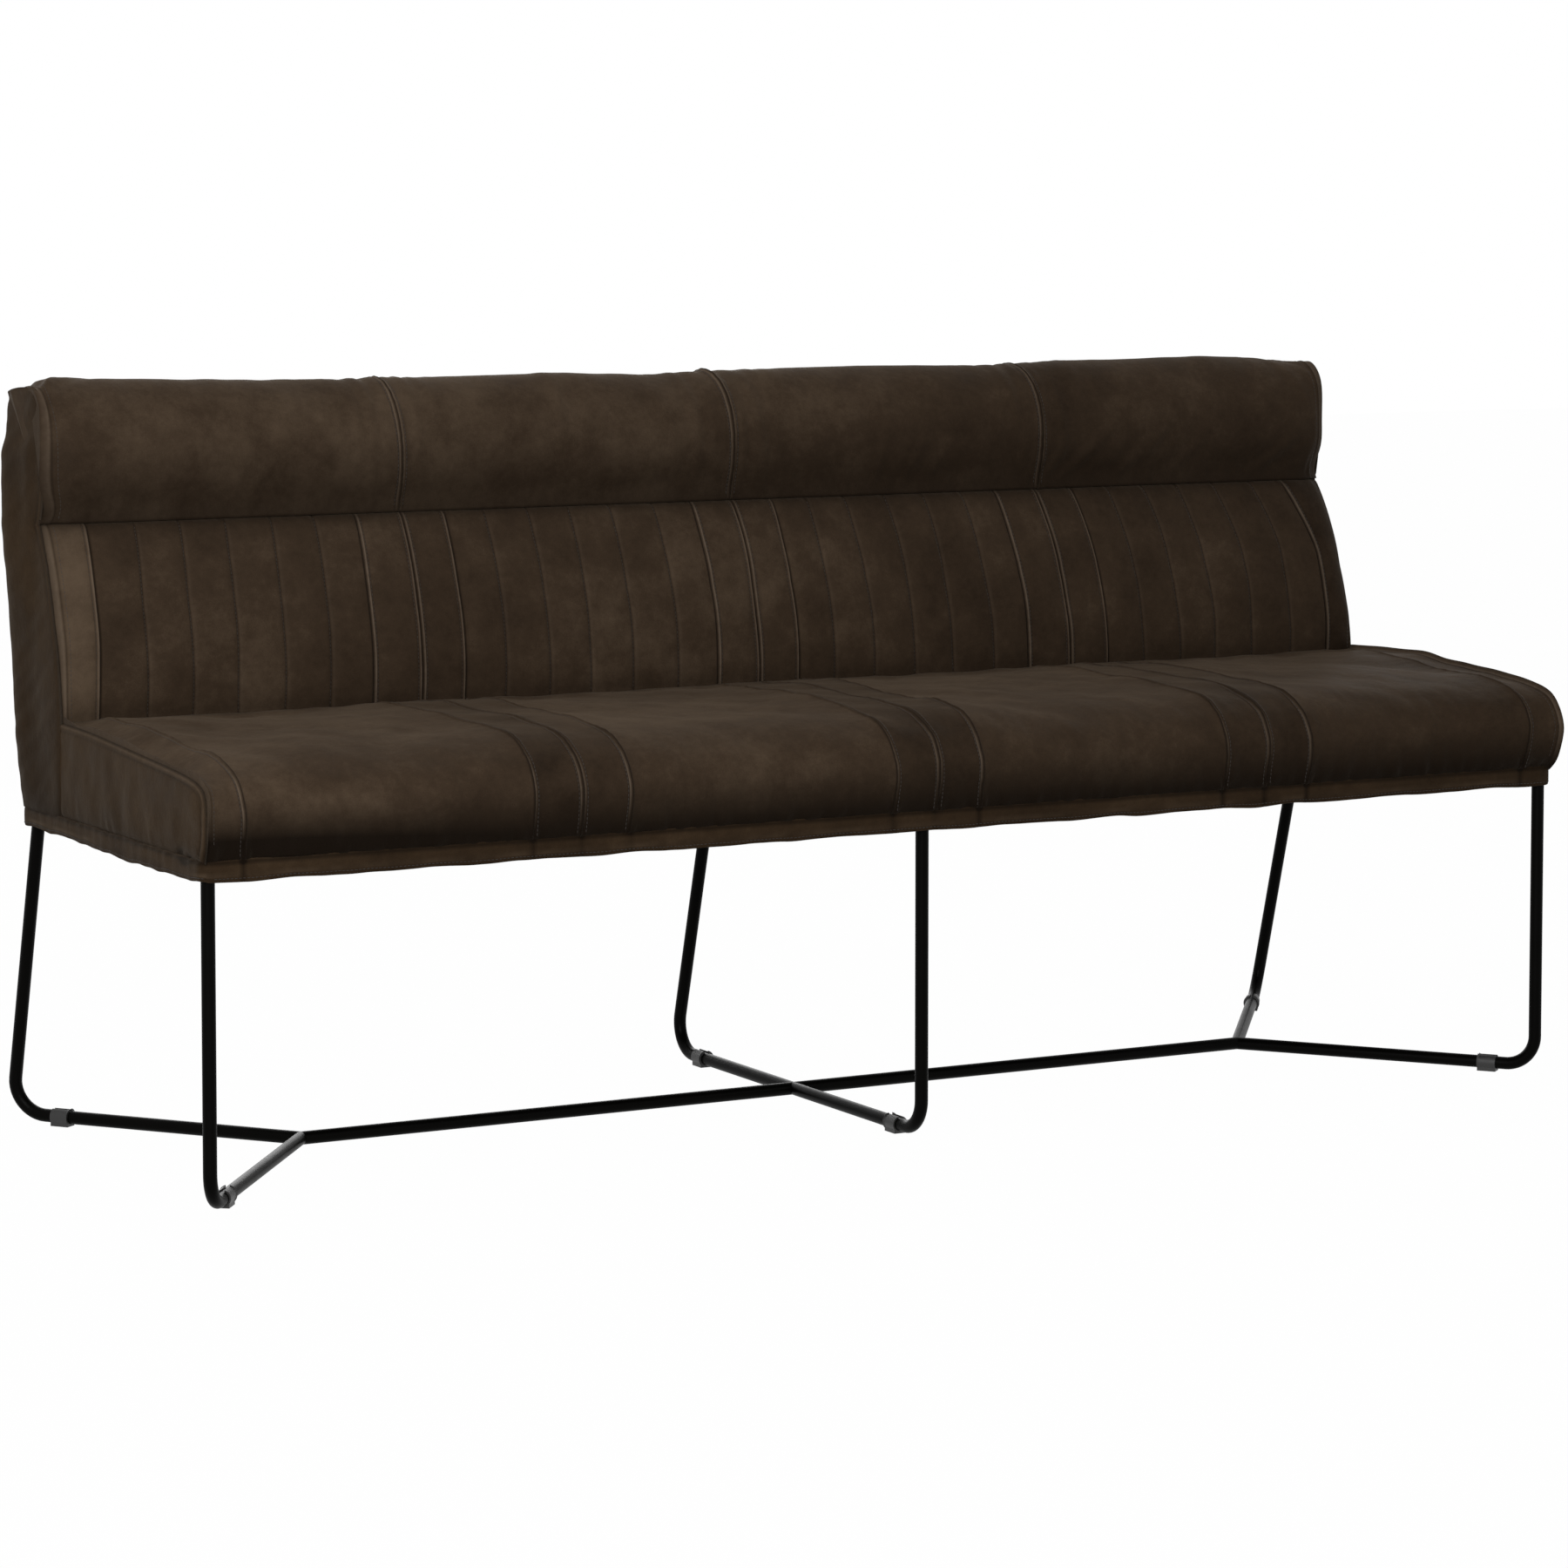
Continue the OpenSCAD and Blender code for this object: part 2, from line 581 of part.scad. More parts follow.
// Side profile of a back post. Its foot stands against the rear rail of the seat frame
post_pts = [[post_front(frame_z), frame_z], [post_front(post_top), post_top],
  [post_rear(post_top), post_top], [post_rear(frame_top), frame_top], [rail_in, frame_top],
  [rail_in, frame_z]];
board_pts = [for (z = board_z) [[post_front(z), z], [post_front(z + board_h), z + board_h],
  [post_front(z + board_h) + board_t, z + board_h], [post_front(z) + board_t, z]]];
// The boards' notches open at the front of the posts
notch_pts = [for (z = board_z) [[post_front(z) - over, z], [post_front(z + board_h) - over, z + board_h],
  [post_front(z + board_h) + board_t, z + board_h], [post_front(z) + board_t, z]]];

// A post over a member of the frame. Below the rail's top only its inner half is left for the lap
module post(x, side) {
  color(wood) difference() {
    profile(x - rail_t / 2, rail_t, post_pts);
    for (p = notch_pts) profile(x - rail_t, 2 * rail_t, p);
    translate([side < 0 ? x - rail_t : x, frame_front, frame_z - over]) mirror([side < 0 ? 0 : 1, 0, 0])
      translate([side < 0 ? rail_t : 0, 0, 0]) cube([rail_t, seat_d, rail_h + over]);
    lap_holes(x, side);
  }
}

// Screws of the laps, driven from the post's side into the member
function lap_y() = mix(post_front(frame_top), rail_in, 0.5);
module lap_places(x, side) {
  for (s = lap_share) translate([x + side * rail_t / 2, lap_y(), frame_z + s * rail_h])
    rotate([0, -90 * side, 0]) children();
}
module lap_holes(x, side) {
  lap_places(x, side) translate([0, 0, -over])
    cylinder(d = bolt_d + 2 * fit, h = rail_t * grip_share + fit + over, $fn = fine);
}
module post_screws() {
  color(zinc) for (s = member_share) let (side = s > 0 ? -1 : 1)
    lap_places(s * (abs(s) == 1 ? member_end : frame_x), side) coach_screw(bolt_d, rail_t * grip_share);
}

// What a member leaves free for the post's foot at its rear end
module lap_cut(x, side) {
  translate([side > 0 ? 0 : -rail_t, 0, 0]) profile(x, rail_t, [
    [post_front(frame_z) - gap, frame_z - over], [post_front(frame_top) - gap, frame_top + over],
    [rail_in + fit, frame_top + over], [rail_in + fit, frame_z - over]]);
}

// Rails of the seat frame
module seat_front_rail() {
  color(wood) translate([rail_t - frame_x, frame_front, frame_z])
    cube([2 * (frame_x - rail_t), rail_t, rail_h]);
}
module seat_rear_rail() {
  color(wood) translate([rail_t - frame_x, rail_in, frame_z])
    cube([2 * (frame_x - rail_t), rail_t, rail_h]);
}
module end_rail() {
  color(wood) difference() {
    intersection() {
      translate([-frame_x, frame_front, frame_z]) cube([rail_t, frame_rear - frame_front, rail_h]);
      frame_plan(0, frame_z, rail_h);
    }
    lap_cut(-member_end, 1);
    lap_holes(-member_end, 1);
    screw_holes(-bar_x, bar_z + screw_len + pilot);
  }
}
module seat_end_rail_left() { end_rail(); }
module seat_end_rail_right() { mirror([1, 0, 0]) end_rail(); }
module cross_rail(x, side) {
  color(wood) difference() {
    translate([x - rail_t / 2, frame_front + rail_t, frame_z])
      cube([rail_t, rail_in - frame_front - rail_t, rail_h]);
    lap_cut(x, side);
    lap_holes(x, side);
    if (x == 0) screw_holes(x, bar_z + screw_len + pilot);
  }
}
module seat_cross_rail_left() { cross_rail(member_share[1] * frame_x, 1); }
module seat_cross_rail_middle() { cross_rail(0, 1); }
module seat_cross_rail_right() { cross_rail(member_share[3] * frame_x, -1); }
module corner_blocks() {
  color(wood) for (side = [0, 1]) mirror([side, 0, 0])
    translate([rail_t - frame_x, frame_front + rail_t, frame_z])
      linear_extrude(rail_h) polygon([[0, 0], [block_leg, 0], [0, block_leg]]);
}
module dust_cover() {
  color(cloth) difference() {
    frame_plan(0, cloth_z, cloth_t);
    for (x = [-bar_x, 0, bar_x]) screw_holes(x, frame_z + over);
  }
}

// Middles of the webbing straps, spread evenly between the members
web_x = [for (b = [0 : len(member_share) - 2]) for (k = [1 : bay_webs])
  mix(member_share[b], member_share[b + 1], (k - 0.5) / bay_webs) * member_end];
module seat_webbing() {
  color(cloth) for (x = web_x) translate([x - web_w / 2, frame_front, frame_top])
    cube([web_w, frame_rear - frame_front, web_t]);
}
module back_webbing() {
  z = [board_z[0], board_z[1] + board_h];
  color(cloth) for (x = web_x) profile(x - web_w / 2, web_w, [
    [post_front(z[0]) + board_t, z[0]], [post_front(z[1]) + board_t, z[1]],
    [post_front(z[1]) + board_t + web_t, z[1]], [post_front(z[0]) + board_t + web_t, z[0]]]);
}

// Posts and boards of the back
module back_post_left_end() { post(-member_end, 1); }
module back_post_left() { post(member_share[1] * frame_x, 1); }
module back_post_middle() { post(0, 1); }
module back_post_right() { post(member_share[3] * frame_x, -1); }
module back_post_right_end() { post(member_end, -1); }
module board(points) { color(wood) profile(-frame_x, 2 * frame_x, points); }
module back_bottom_board() { board(board_pts[0]); }
module back_seam_board() { board(board_pts[1]); }
module back_top_board() { board(board_pts[2]); }

// Seat: foam block, channelled cover and side panels
module seat_foam() {
  color(foam) profile(-frame_x, 2 * frame_x, concat(
    [[frame_front - gap, pad_z]], [for (j = [lower_rows : seat_last]) seat_inner[j]],
    [[seat_end_y, pad_z]]));
}
module seat_cover() {
  color(leather) sheet(
    [for (i = seat_at) [for (j = [0 : seat_last]) seat_point(x_at(i), swell(in_bay(i)), j)]],
    [for (x = inner_x) [for (p = seat_inner) [x, p[0], p[1]]]], matched(seat_at));
}

// A side panel swells out of the plane of its seams, over rows of points from front to rear
module side_panel(rows) {
  n = len(rows) - 1;
  color(leather_dark) sheet(
    [for (r = [0 : n]) [for (c = [0 : side_cols]) let (p = rows[r][c],
      s = side_swell * hump(c, 0, side_cols) * hump(min(r + 0.4, n), 0, n))
      [-frame_x - gap - side_edge - s, p[0], p[1]]]],
    [for (r = [0 : n]) [for (c = [0 : side_cols]) [-frame_x - gap, rows[r][c][0], rows[r][c][1]]]],
    [for (r = [0 : n]) r]);
}
function span(a, b) = [for (c = [0 : side_cols]) mix(a, b, c / side_cols)];
module seat_side() {
  edge = [for (j = [0 : seat_last]) let (p = seat_point(-frame_x, 0, j)) [p[1], p[2]]];
  rise = edge[seat_last][1] - cover_z;
  side_panel(concat(
    [for (j = [0 : roll_last - 1]) span(edge[j],
      [seat_end_y, cover_z + rise * (edge[j][1] - cover_z) / (edge[roll_last][1] - cover_z)])],
    [[for (c = [0 : side_cols]) edge[roll_last + c]]]));
}
module seat_side_left() { seat_side(); }
module seat_side_right() { mirror([1, 0, 0]) seat_side(); }

// Rolled hem round the foot of the upholstery, a strip to each side
module hem_ring() {
  color(leather_dark) difference() {
    frame_plan(hem_t + gap, hem_z, hem_h);
    frame_plan(gap, hem_z - over, hem_h + 2 * over);
  }
}
module hem_strip(x, y, size) {
  intersection() {
    hem_ring();
    translate([x, y, hem_z]) cube([size[0], size[1], hem_h]);
  }
}
module seat_hem_front() { hem_strip(-sofa_w / 2, hem_y, [sofa_w, hem_t + gap + corner_r]); }
module seat_hem_rear() { hem_strip(-sofa_w / 2, frame_rear - corner_r, [sofa_w, hem_t + gap + corner_r]); }
module side_hem() {
  hem_strip(-sofa_w / 2, frame_front + corner_r, [2 * hem_t, frame_rear - frame_front - 2 * corner_r]);
}
module seat_hem_left() { side_hem(); }
module seat_hem_right() { mirror([1, 0, 0]) side_hem(); }

// Back: foams, channelled panel, bolster cover, side panels and rear cover
function panel_inner(x, j) = let (z = panel_z(j))
  [x, panel_y(z) + end_back(z) * drawn(x) + back_cover_t, z];
module back_channel_panel() {
  color(leather) sheet(
    [for (i = channel_at) let (x = x_at(i), s = channel_deep * hump(i - floor(i), 0, 1))
      [for (j = [0 : panel_rows]) let (z = panel_z(j))
        [x, panel_y(z) + end_back(z) * drawn(x) - s * (j > 1 && j < panel_rows ? 1 : 0), z]]],
    [for (x = inner_x) [for (j = [0 : panel_rows]) panel_inner(x, j)]], matched(channel_at));
}
module back_foam() {
  n = panel_rows + 2;
  color(foam) sheet(
    [for (x = inner_x) concat([[x, back_foot_y, pad_z], [x, back_foot_y, foam_top]],
      [for (j = [0 : panel_rows]) panel_inner(x, j)])],
    [for (x = inner_x) [for (j = [0 : n]) let (z = mix(pad_z, seam_z, j / n)) [x, post_front(z), z]]],
    [for (i = [0 : len(inner_x) - 1]) i]);
}
function bolster_inner(x) = [for (p = bolster_curve(back_cover_t, drawn(x))) [x, p[0], p[1]]];
module bolster_foam() {
  color(foam) sheet([for (x = inner_x) bolster_inner(x)],
    [for (x = inner_x) [for (j = [0 : bolster_last]) let (
        z = mix(seam_z + gap, post_top, min(1, j / ridge)), t = max(0, (j - ridge) / (bolster_last - ridge)))
      [x, mix(post_front(z), post_rear(post_top), t), z]]],
    [for (i = [0 : len(inner_x) - 1]) i]);
}
module back_bolster_cover() {
  color(leather) sheet([for (i = bolster_at) bolster_row(x_at(i), puff(in_bay(i)))],
    [for (x = inner_x) bolster_inner(x)], matched(bolster_at));
}
side_top = ridge - side_cols / 2;
low_steps = 7;
module back_side() {
  edge = bolster_curve(0, 1);
  front = concat([[back_foot_y, cover_z], [back_foot_y, foam_top]],
    [for (k = [0 : low_steps - 3]) let (z = mix(seat_line_z, seam_z, (k + 0.5) / (low_steps - 2)))
      [panel_y(z) + end_back(z), z]],
    [for (j = [0 : side_top - 1]) edge[j]]);
  top = rear_seam_z;
  back = [for (j = [bolster_last - 1 : -1 : ridge + side_cols / 2 + 1]) edge[j]];
  n = len(front) - len(back);
  rear = concat([for (k = [0 : n - 1]) let (z = mix(cover_z, top, k / (n - 1))) [rear_y(z), z]], back);
  side_panel(concat([for (k = [0 : len(front) - 1]) span(front[k], rear[k])],
    [[for (c = [0 : side_cols]) edge[side_top + c]]]));
}
module back_side_left() { back_side(); }
module back_side_right() { mirror([1, 0, 0]) back_side(); }
module back_rear_cover() {
  z = [cover_z, rear_seam_z - gap];
  color(leather_dark) profile(-frame_x, 2 * frame_x, [
    [rear_y(z[0]) - rear_cover_t, z[0]], [rear_y(z[0]), z[0]],
    [rear_y(z[1]), z[1]], [rear_y(z[1]) - rear_cover_t, z[1]]]);
}

leg_front_left();
leg_rear_left();
leg_front_middle();
leg_rear_middle();
leg_front_right();
leg_rear_right();
floor_rail_left();
floor_rail_right();
top_bar_left();
top_bar_middle();
top_bar_right();
frame_screws();
glide_front_left();
glide_rear_left();
glide_front_middle();
glide_rear_middle();
glide_front_right();
glide_rear_right();
seat_front_rail();
seat_rear_rail();
seat_end_rail_left();
seat_end_rail_right();
seat_cross_rail_left();
seat_cross_rail_middle();
seat_cross_rail_right();
corner_blocks();
dust_cover();
seat_webbing();
seat_foam();
seat_cover();
seat_side_left();
seat_side_right();
seat_hem_front();
seat_hem_rear();
seat_hem_left();
seat_hem_right();
back_post_left_end();
back_post_left();
back_post_middle();
back_post_right();
back_post_right_end();
post_screws();
back_bottom_board();
back_seam_board();
back_top_board();
back_webbing();
back_foam();
bolster_foam();
back_channel_panel();
back_bolster_cover();
back_side_left();
back_side_right();
back_rear_cover();
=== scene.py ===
# Upholstered dining sofa on a bent steel tube underframe.
# Millimetres are used for every shape and turned into metres when a piece is made.
import math
import bpy
import numpy as np
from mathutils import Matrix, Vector


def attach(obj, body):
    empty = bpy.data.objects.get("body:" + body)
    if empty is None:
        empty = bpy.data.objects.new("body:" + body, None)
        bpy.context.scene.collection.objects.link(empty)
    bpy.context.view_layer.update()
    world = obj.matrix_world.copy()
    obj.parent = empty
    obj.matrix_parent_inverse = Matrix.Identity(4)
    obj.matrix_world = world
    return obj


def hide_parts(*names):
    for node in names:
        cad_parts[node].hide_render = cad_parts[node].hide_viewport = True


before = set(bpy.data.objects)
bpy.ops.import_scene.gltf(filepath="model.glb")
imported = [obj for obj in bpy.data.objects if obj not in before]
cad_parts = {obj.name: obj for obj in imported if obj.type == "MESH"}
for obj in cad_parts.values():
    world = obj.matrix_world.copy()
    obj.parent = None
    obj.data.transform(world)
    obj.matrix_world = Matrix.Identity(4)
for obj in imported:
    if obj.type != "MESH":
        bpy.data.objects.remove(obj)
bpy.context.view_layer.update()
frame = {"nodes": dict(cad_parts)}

# ---------------- sizes shared with the part
half = 924.7                 # wooden seat frame, half its length
STRIPS, BAY = 32, 8          # strips between the two ends, and strips in one bay
strip = 2 * half / STRIPS    # width between two seams of the back
hem_front, hem_rear = -311.233, 258.767
hem_foot, hem_top = 376.0, 400.3
cover_z, panel_z = 398.6, 398.8      # where the covers and the end panels start, behind the hem
pad_z = 432.0                # top of the webbing
clear = 0.4                  # room between a pad and the wood or webbing it lies on
seat_rear, seat_end = 126.4, 126.767  # end of the seat's top, and the most that it may swell to
pad_front = -306.3           # inner side of the seat's front
back_foot = 127.067
seat_line, seam_z = 516.2, 742.0     # where the seat's top meets the back, and the cross seam
shut_z = seam_z - clear      # top of the channelled panel, under the cross seam
post_top, post_depth = 815.0, 66.3
rear_seam, rear_wadding = 862.0, 19  # seam behind the bolster, and the fullness under the rear leather
ridge_y = 260.067
nose_y, nose_z, crest = 172.067, 812.0, 906.0
lean = math.tan(math.radians(5.5))


def seam_x(i):
    return i * strip - half


def rear_y(z):
    """Rear side of the leaning posts."""
    return hem_rear + (z - hem_top) * lean


def rear_skin(z):
    """The rear leather stands off the posts over a layer of wadding."""
    share = np.interp(z, [400, 432, 480, 535, 640, 741, 790, 830, 862, 890, 912],
                      [0.1, 0.2, 0.42, 0.55, 0.72, 1.0, 0.97, 0.92, 0.82, 0.6, 0.4])
    return rear_y(z) + rear_wadding * share


def post_front(z):
    """Front side of the leaning posts."""
    return rear_y(z) - post_depth


def step(lo, hi, v):
    """A smooth rise from 0 at lo to 1 at hi."""
    t = np.clip((v - lo) / (hi - lo), 0, 1)
    return t * t * (3 - 2 * t)


def bump(v, width):
    """A bell that is 1 where v is 0."""
    return np.exp(-(v / width) ** 2)


class Ripple:
    """Smooth, seeded unevenness made of many small waves over two lengths in millimetres."""

    def __init__(self, seed, across, along, count=26):
        rng = np.random.default_rng(seed)
        self.ku = 2 * math.pi / rng.uniform(across[0], across[1], count)
        self.kv = 2 * math.pi / rng.uniform(along[0], along[1], count) * rng.choice([-1, 1], count)
        self.phase = rng.uniform(0, 2 * math.pi, count)
        self.gain = math.sqrt(2 / count)

    def __call__(self, u, v):
        total = np.zeros(np.broadcast(u, v).shape)
        for ku, kv, phase in zip(self.ku, self.kv, self.phase):
            total += np.sin(ku * u + kv * v + phase)
        return total * self.gain


def smooth_line(knots, count):
    """A smooth curve through knots (k, 2), with count points."""
    p = np.asarray(knots, float)
    p = np.vstack([2 * p[0] - p[1], p, 2 * p[-1] - p[-2]])
    t = np.linspace(0, len(knots) - 1 - 1e-9, count)
    i = t.astype(int)
    f = (t - i)[:, None]
    a, b, c, d = p[i], p[i + 1], p[i + 2], p[i + 3]
    return 0.5 * (2 * b + (c - a) * f + (2 * a - 5 * b + 4 * c - d) * f ** 2 + (3 * b - a - 3 * c + d) * f ** 3)


def travel(line):
    """Length along a line, at each of its points."""
    return np.concatenate([[0], np.cumsum(np.linalg.norm(np.diff(line, axis=0), axis=1))])


def picked(t, s, line):
    """Points of a line at the lengths t."""
    return np.stack([np.interp(t, s, line[:, k]) for k in range(line.shape[1])], 1)


def even(line, count):
    """The same line with its points spread evenly along it."""
    s = travel(line)
    return picked(np.linspace(0, s[-1], count), s, line)


def stations(seams, coarse, fine, reach):
    """Places along the sofa, close together at the seams and at both ends."""
    xs = list(np.linspace(-half, half, int(2 * half / coarse)))
    for s in [p[0] for p in seams] + [END_SEAM - half, half - END_SEAM]:
        xs += list(np.arange(s - reach, s + reach + fine / 2, fine))
    xs += [-half, half]
    xs = np.unique(np.round([x for x in xs if -half <= x <= half], 3))
    least = 0.55 * fine
    keep = [xs[0]]
    for x in xs[1:-1]:
        if x - keep[-1] > least and xs[-1] - x > least:
            keep.append(x)
    return np.array(keep + [xs[-1]])


def normals(grid):
    """Outward directions over a face: rows along the sofa, each from its front or foot to the rear."""
    n = np.cross(np.gradient(grid, axis=1), np.gradient(grid, axis=0))
    return n / (np.linalg.norm(n, axis=2, keepdims=True) + 1e-9)


def arc(grid):
    """Length along each ring of a grid, from its first point."""
    d = np.linalg.norm(np.diff(grid, axis=1), axis=2)
    return np.concatenate([np.zeros((len(grid), 1)), np.cumsum(d, 1)], 1)


def distance(points, line):
    """Shortest distance of each point of a grid from the points of a line."""
    return np.min(np.linalg.norm(points[:, :, None] - line[None, None], axis=3), axis=2)


def rolled_in(e, radius):
    """How far a face falls back at e from its end, where it rolls over with a radius."""
    return np.where(e < radius, radius - np.sqrt(np.maximum(radius ** 2 - (radius - e) ** 2, 0)), 0)


# ---------------- sewing
LAP, PAIR, QUILT = "lap", "pair", "quilt"
SEAM_REACH = 14              # how far a seam shapes the leather beside it
END_SEAM = 6                 # middle of the sewn edge, from the end


def seam_relief(x, place, kind, strip_side):
    """Height of the leather beside one seam."""
    u = x - place
    if kind == PAIR:
        return -1.7 * bump(u, 1.1) + 1.2 * bump(np.abs(u) - 2.8, 1.6) - 0.8 * bump(np.abs(u) - 5.7, 0.9)
    if kind == LAP:
        w = u * strip_side
        return -1.9 * bump(w + 0.4, 1.2) + 1.5 * bump(w - 2.4, 1.7) - 0.8 * bump(w - 5.3, 0.9)
    return -1.3 * np.exp(-np.abs(u) / 1.5)


def relief(x, seams):
    """Height of the leather beside all the seams of a face."""
    total = np.zeros_like(x)
    for place, kind, side in seams:
        near = np.abs(x - place) < SEAM_REACH
        total[near] += seam_relief(x[near], place, kind, side)
    return total


def dark_line(x, seams):
    """How deep in a seam's furrow a place is, for the painted shade there."""
    total = np.zeros_like(x)
    for place, kind, side in seams:
        u = (x - place) * side
        if kind == PAIR:
            total += bump(u, 1.2) + 0.5 * bump(np.abs(u) - 5.8, 0.9)
        elif kind == LAP:
            total += bump(u + 0.4, 1.3) + 0.5 * bump(u - 5.4, 0.9)
        else:
            total += 0.75 * bump(u, 1.2)
    return total


def rubbed_and_sheen(x, seams):
    """How far a place stands up beside a seam, where the nap is worn lighter and a sheen is painted on."""
    total = np.zeros_like(x)
    for place, kind, side in seams:
        u = (x - place) * side
        if kind == PAIR:
            total += 0.9 * bump(np.abs(u) - 2.7, 1.1)
        elif kind == LAP:
            total += 1.1 * bump(u - 2.2, 1.2)
        else:
            total += 0.1 * bump(u - 3.2, 2.4)
    return total


def hump(t, power):
    """A swelling between two seams, the blunter the smaller its power."""
    return np.sin(math.pi * np.clip(t, 0, 1)) ** power


# places of the seams, by their number along the sofa: 0 and STRIPS are the ends
seat_places = {0: -half, 1: -878, 7: -524, 8: -462, 9: -400, 15: -49, 16: 12, 17: 73, 23: 423, 24: 486,
               25: 548, 31: 878, 32: half}
back_shift = [0, -13, -11, -10, -9, -6, -5, -7, 0, 0, -3, -1, -2, -1, 4, 2, 4, 3, -4, -4, -2, -3, 0, -5, 1, 2,
              0, 0, -2, 2, 8, 10, 0]
back_places = {i: seam_x(i) + shift for i, shift in enumerate(back_shift)}
bolster_places = {0: -half, 8: -463, 16: 0, 24: 461, 32: half}


def seams_of(places):
    """Seams as (place, kind, side of the narrow strip)."""
    made = []
    for i, x in places.items():
        if 0 < i < STRIPS:
            kind = PAIR if i % BAY == 0 else LAP if i % BAY in (1, BAY - 1) else QUILT
            made.append((x, kind, -1 if i % BAY == 1 else 1))
    return made


def count_at(x, places):
    """Place along the sofa counted in seams."""
    return np.interp(x, list(places.values()), list(places))


def from_seam(x, places):
    """Distance from the nearest of some seams."""
    return np.min(np.abs(x[None] - np.array(places)[:, None, None]), axis=0)


def panel_tone(x, places, seed, spread):
    """Each cut panel of leather is a little lighter or darker than the next."""
    rng = np.random.default_rng(seed)
    values = rng.uniform(-spread, spread, len(places) + 1)
    return values[np.searchsorted(list(places.values()), x)]


def end_taper(z, y):
    """The end seams of the back lean inwards towards the bolster, over the front of its wooden posts."""
    on_post = step(208, 238, y) * (1 - step(818, 850, z))
    return (2.6 * step(530, 640, z) + 3.6 * step(640, 800, z)) * (1 - on_post)


def tapered(x, y, z):
    """Places along the sofa, drawn in with the end seams."""
    return x - np.sign(x) * end_taper(z, y) * step(760, half, np.abs(x))


seat_seams, back_seams, bolster_seams = (seams_of(v) for v in (seat_places, back_places, bolster_places))


# ---------------- making pieces
def piece(name, points, faces, slot, **layers):
    """One named piece on the sofa's only body, with values on its points for its colour."""
    mesh = bpy.data.meshes.new(name)
    mesh.from_pydata((np.asarray(points) * 0.001).tolist(), [], [tuple(f) for f in faces])
    for key, values in layers.items():
        layer = mesh.attributes.new(key, "FLOAT", "POINT")
        layer.data.foreach_set("value", np.asarray(values, np.float32).ravel())
    mesh.polygons.foreach_set("use_smooth", [True] * len(mesh.polygons))
    mesh.update()
    made = bpy.data.objects.new(name, mesh)
    bpy.context.scene.collection.objects.link(made)
    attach(made, "root")
    return made


def loft(name, grid, slot, round_about=False, **layers):
    """Closed rows of points joined into one skin, capped at both ends or joined round about."""
    n, m = grid.shape[:2]
    idx = np.arange(n * m).reshape(n, m)
    a = idx if round_about else idx[:-1]
    b = np.roll(idx, -1, 0) if round_about else idx[1:]
    faces = np.stack([a, np.roll(a, -1, 1), np.roll(b, -1, 1), b], -1).reshape(-1, 4).tolist()
    if not round_about:
        faces += [idx[0, ::-1].tolist(), idx[-1].tolist()]
    made = piece(name, grid.reshape(-1, 3), faces, slot, **layers)
    if not round_about:
        made.data.polygons[-1].use_smooth = made.data.polygons[-2].use_smooth = False
    return made


def pad(name, face, hidden_line, x_of, turned=False, **layers):
    """A padded form: the rows of its face, each closed by a hidden line of (y, z) points."""
    hidden = np.zeros((len(face), len(hidden_line), 3))
    hidden[:, :, 1:] = np.asarray(hidden_line)[None]
    hidden[:, :, 0] = tapered(x_of[:, None], hidden[:, :, 1], hidden[:, :, 2])
    way = -1 if turned else 1
    blank = np.zeros(hidden.shape[:2])
    layers = {key: np.concatenate([np.broadcast_to(value, face.shape[:2]), blank], 1)[:, ::way]
              for key, value in layers.items()}
    return loft(name, np.concatenate([face, hidden], 1)[:, ::way], "leather", **layers)


def boxed(name, face, flat, slot, turned, **layers):
    """A panel between two grids of points, with a rim all round. The layers are kept on its face."""
    n, m = face.shape[:2]
    idx = np.arange(n * m).reshape(n, m)
    a = np.stack([idx[:-1, :-1], idx[:-1, 1:], idx[1:, 1:], idx[1:, :-1]], -1).reshape(-1, 4)
    loop = np.concatenate([idx[0, :], idx[1:, -1], idx[-1, -2::-1], idx[-2:0:-1, 0]])
    rim = np.stack([loop, loop + n * m, np.roll(loop, -1) + n * m, np.roll(loop, -1)], -1)
    front, back = (a[:, ::-1], a) if turned else (a, a[:, ::-1])
    faces = front.tolist() + (back + n * m).tolist() + (rim if turned else rim[:, ::-1]).tolist()
    zero = np.zeros(n * m)
    layers = {key: np.concatenate([np.broadcast_to(value, (n, m)).ravel(), zero])
              for key, value in layers.items()}
    return piece(name, np.concatenate([face.reshape(-1, 3), flat.reshape(-1, 3)]), faces, slot, **layers)


# ---------------- seat
# sections from the hem over the front to the back, as (y, z): in the middle, and near and at each end
seat_mid = [(-309.5, cover_z), (-317, 420), (-321, 446), (-317.5, 465), (-306, 485), (-289, 499),
            (-260, 511.5), (-212, 518), (-137, 520), (-50, 521), (40, 520.5), (seat_rear, 515)]
left_near = [(-308.5, cover_z), (-312, 420), (-313, 447), (-307, 463), (-296, 480), (-280, 492),
             (-251, 503), (-205, 511), (-140, 514.5), (-56, 517), (46, 519), (seat_rear, 515)]
left_edge = [(-308.5, cover_z), (-314, 418), (-317, 446), (-317.5, 464), (-312, 478), (-297, 486),
             (-270, 491), (-213, 496), (-132, 501), (-50, 506), (40, 511), (seat_rear, 513)]
right_near = [(-309, cover_z), (-322, 418), (-330, 446), (-329, 463), (-318, 482), (-300, 495),
              (-268, 505), (-215, 512), (-140, 517), (-50, 519.5), (46, 520), (seat_rear, 516)]
right_edge = [(-307, cover_z), (-323, 414), (-333, 440), (-334.6, 456), (-326, 475), (-308, 491),
              (-270, 501), (-222, 508), (-130, 514.5), (-38, 518), (60, 518), (seat_rear, 514)]
SEAT_ROWS = 124
RIDGE, HOLLOW = 2.4, 5.2     # stitched ridge beside an end seam and the hollow behind it, from the end


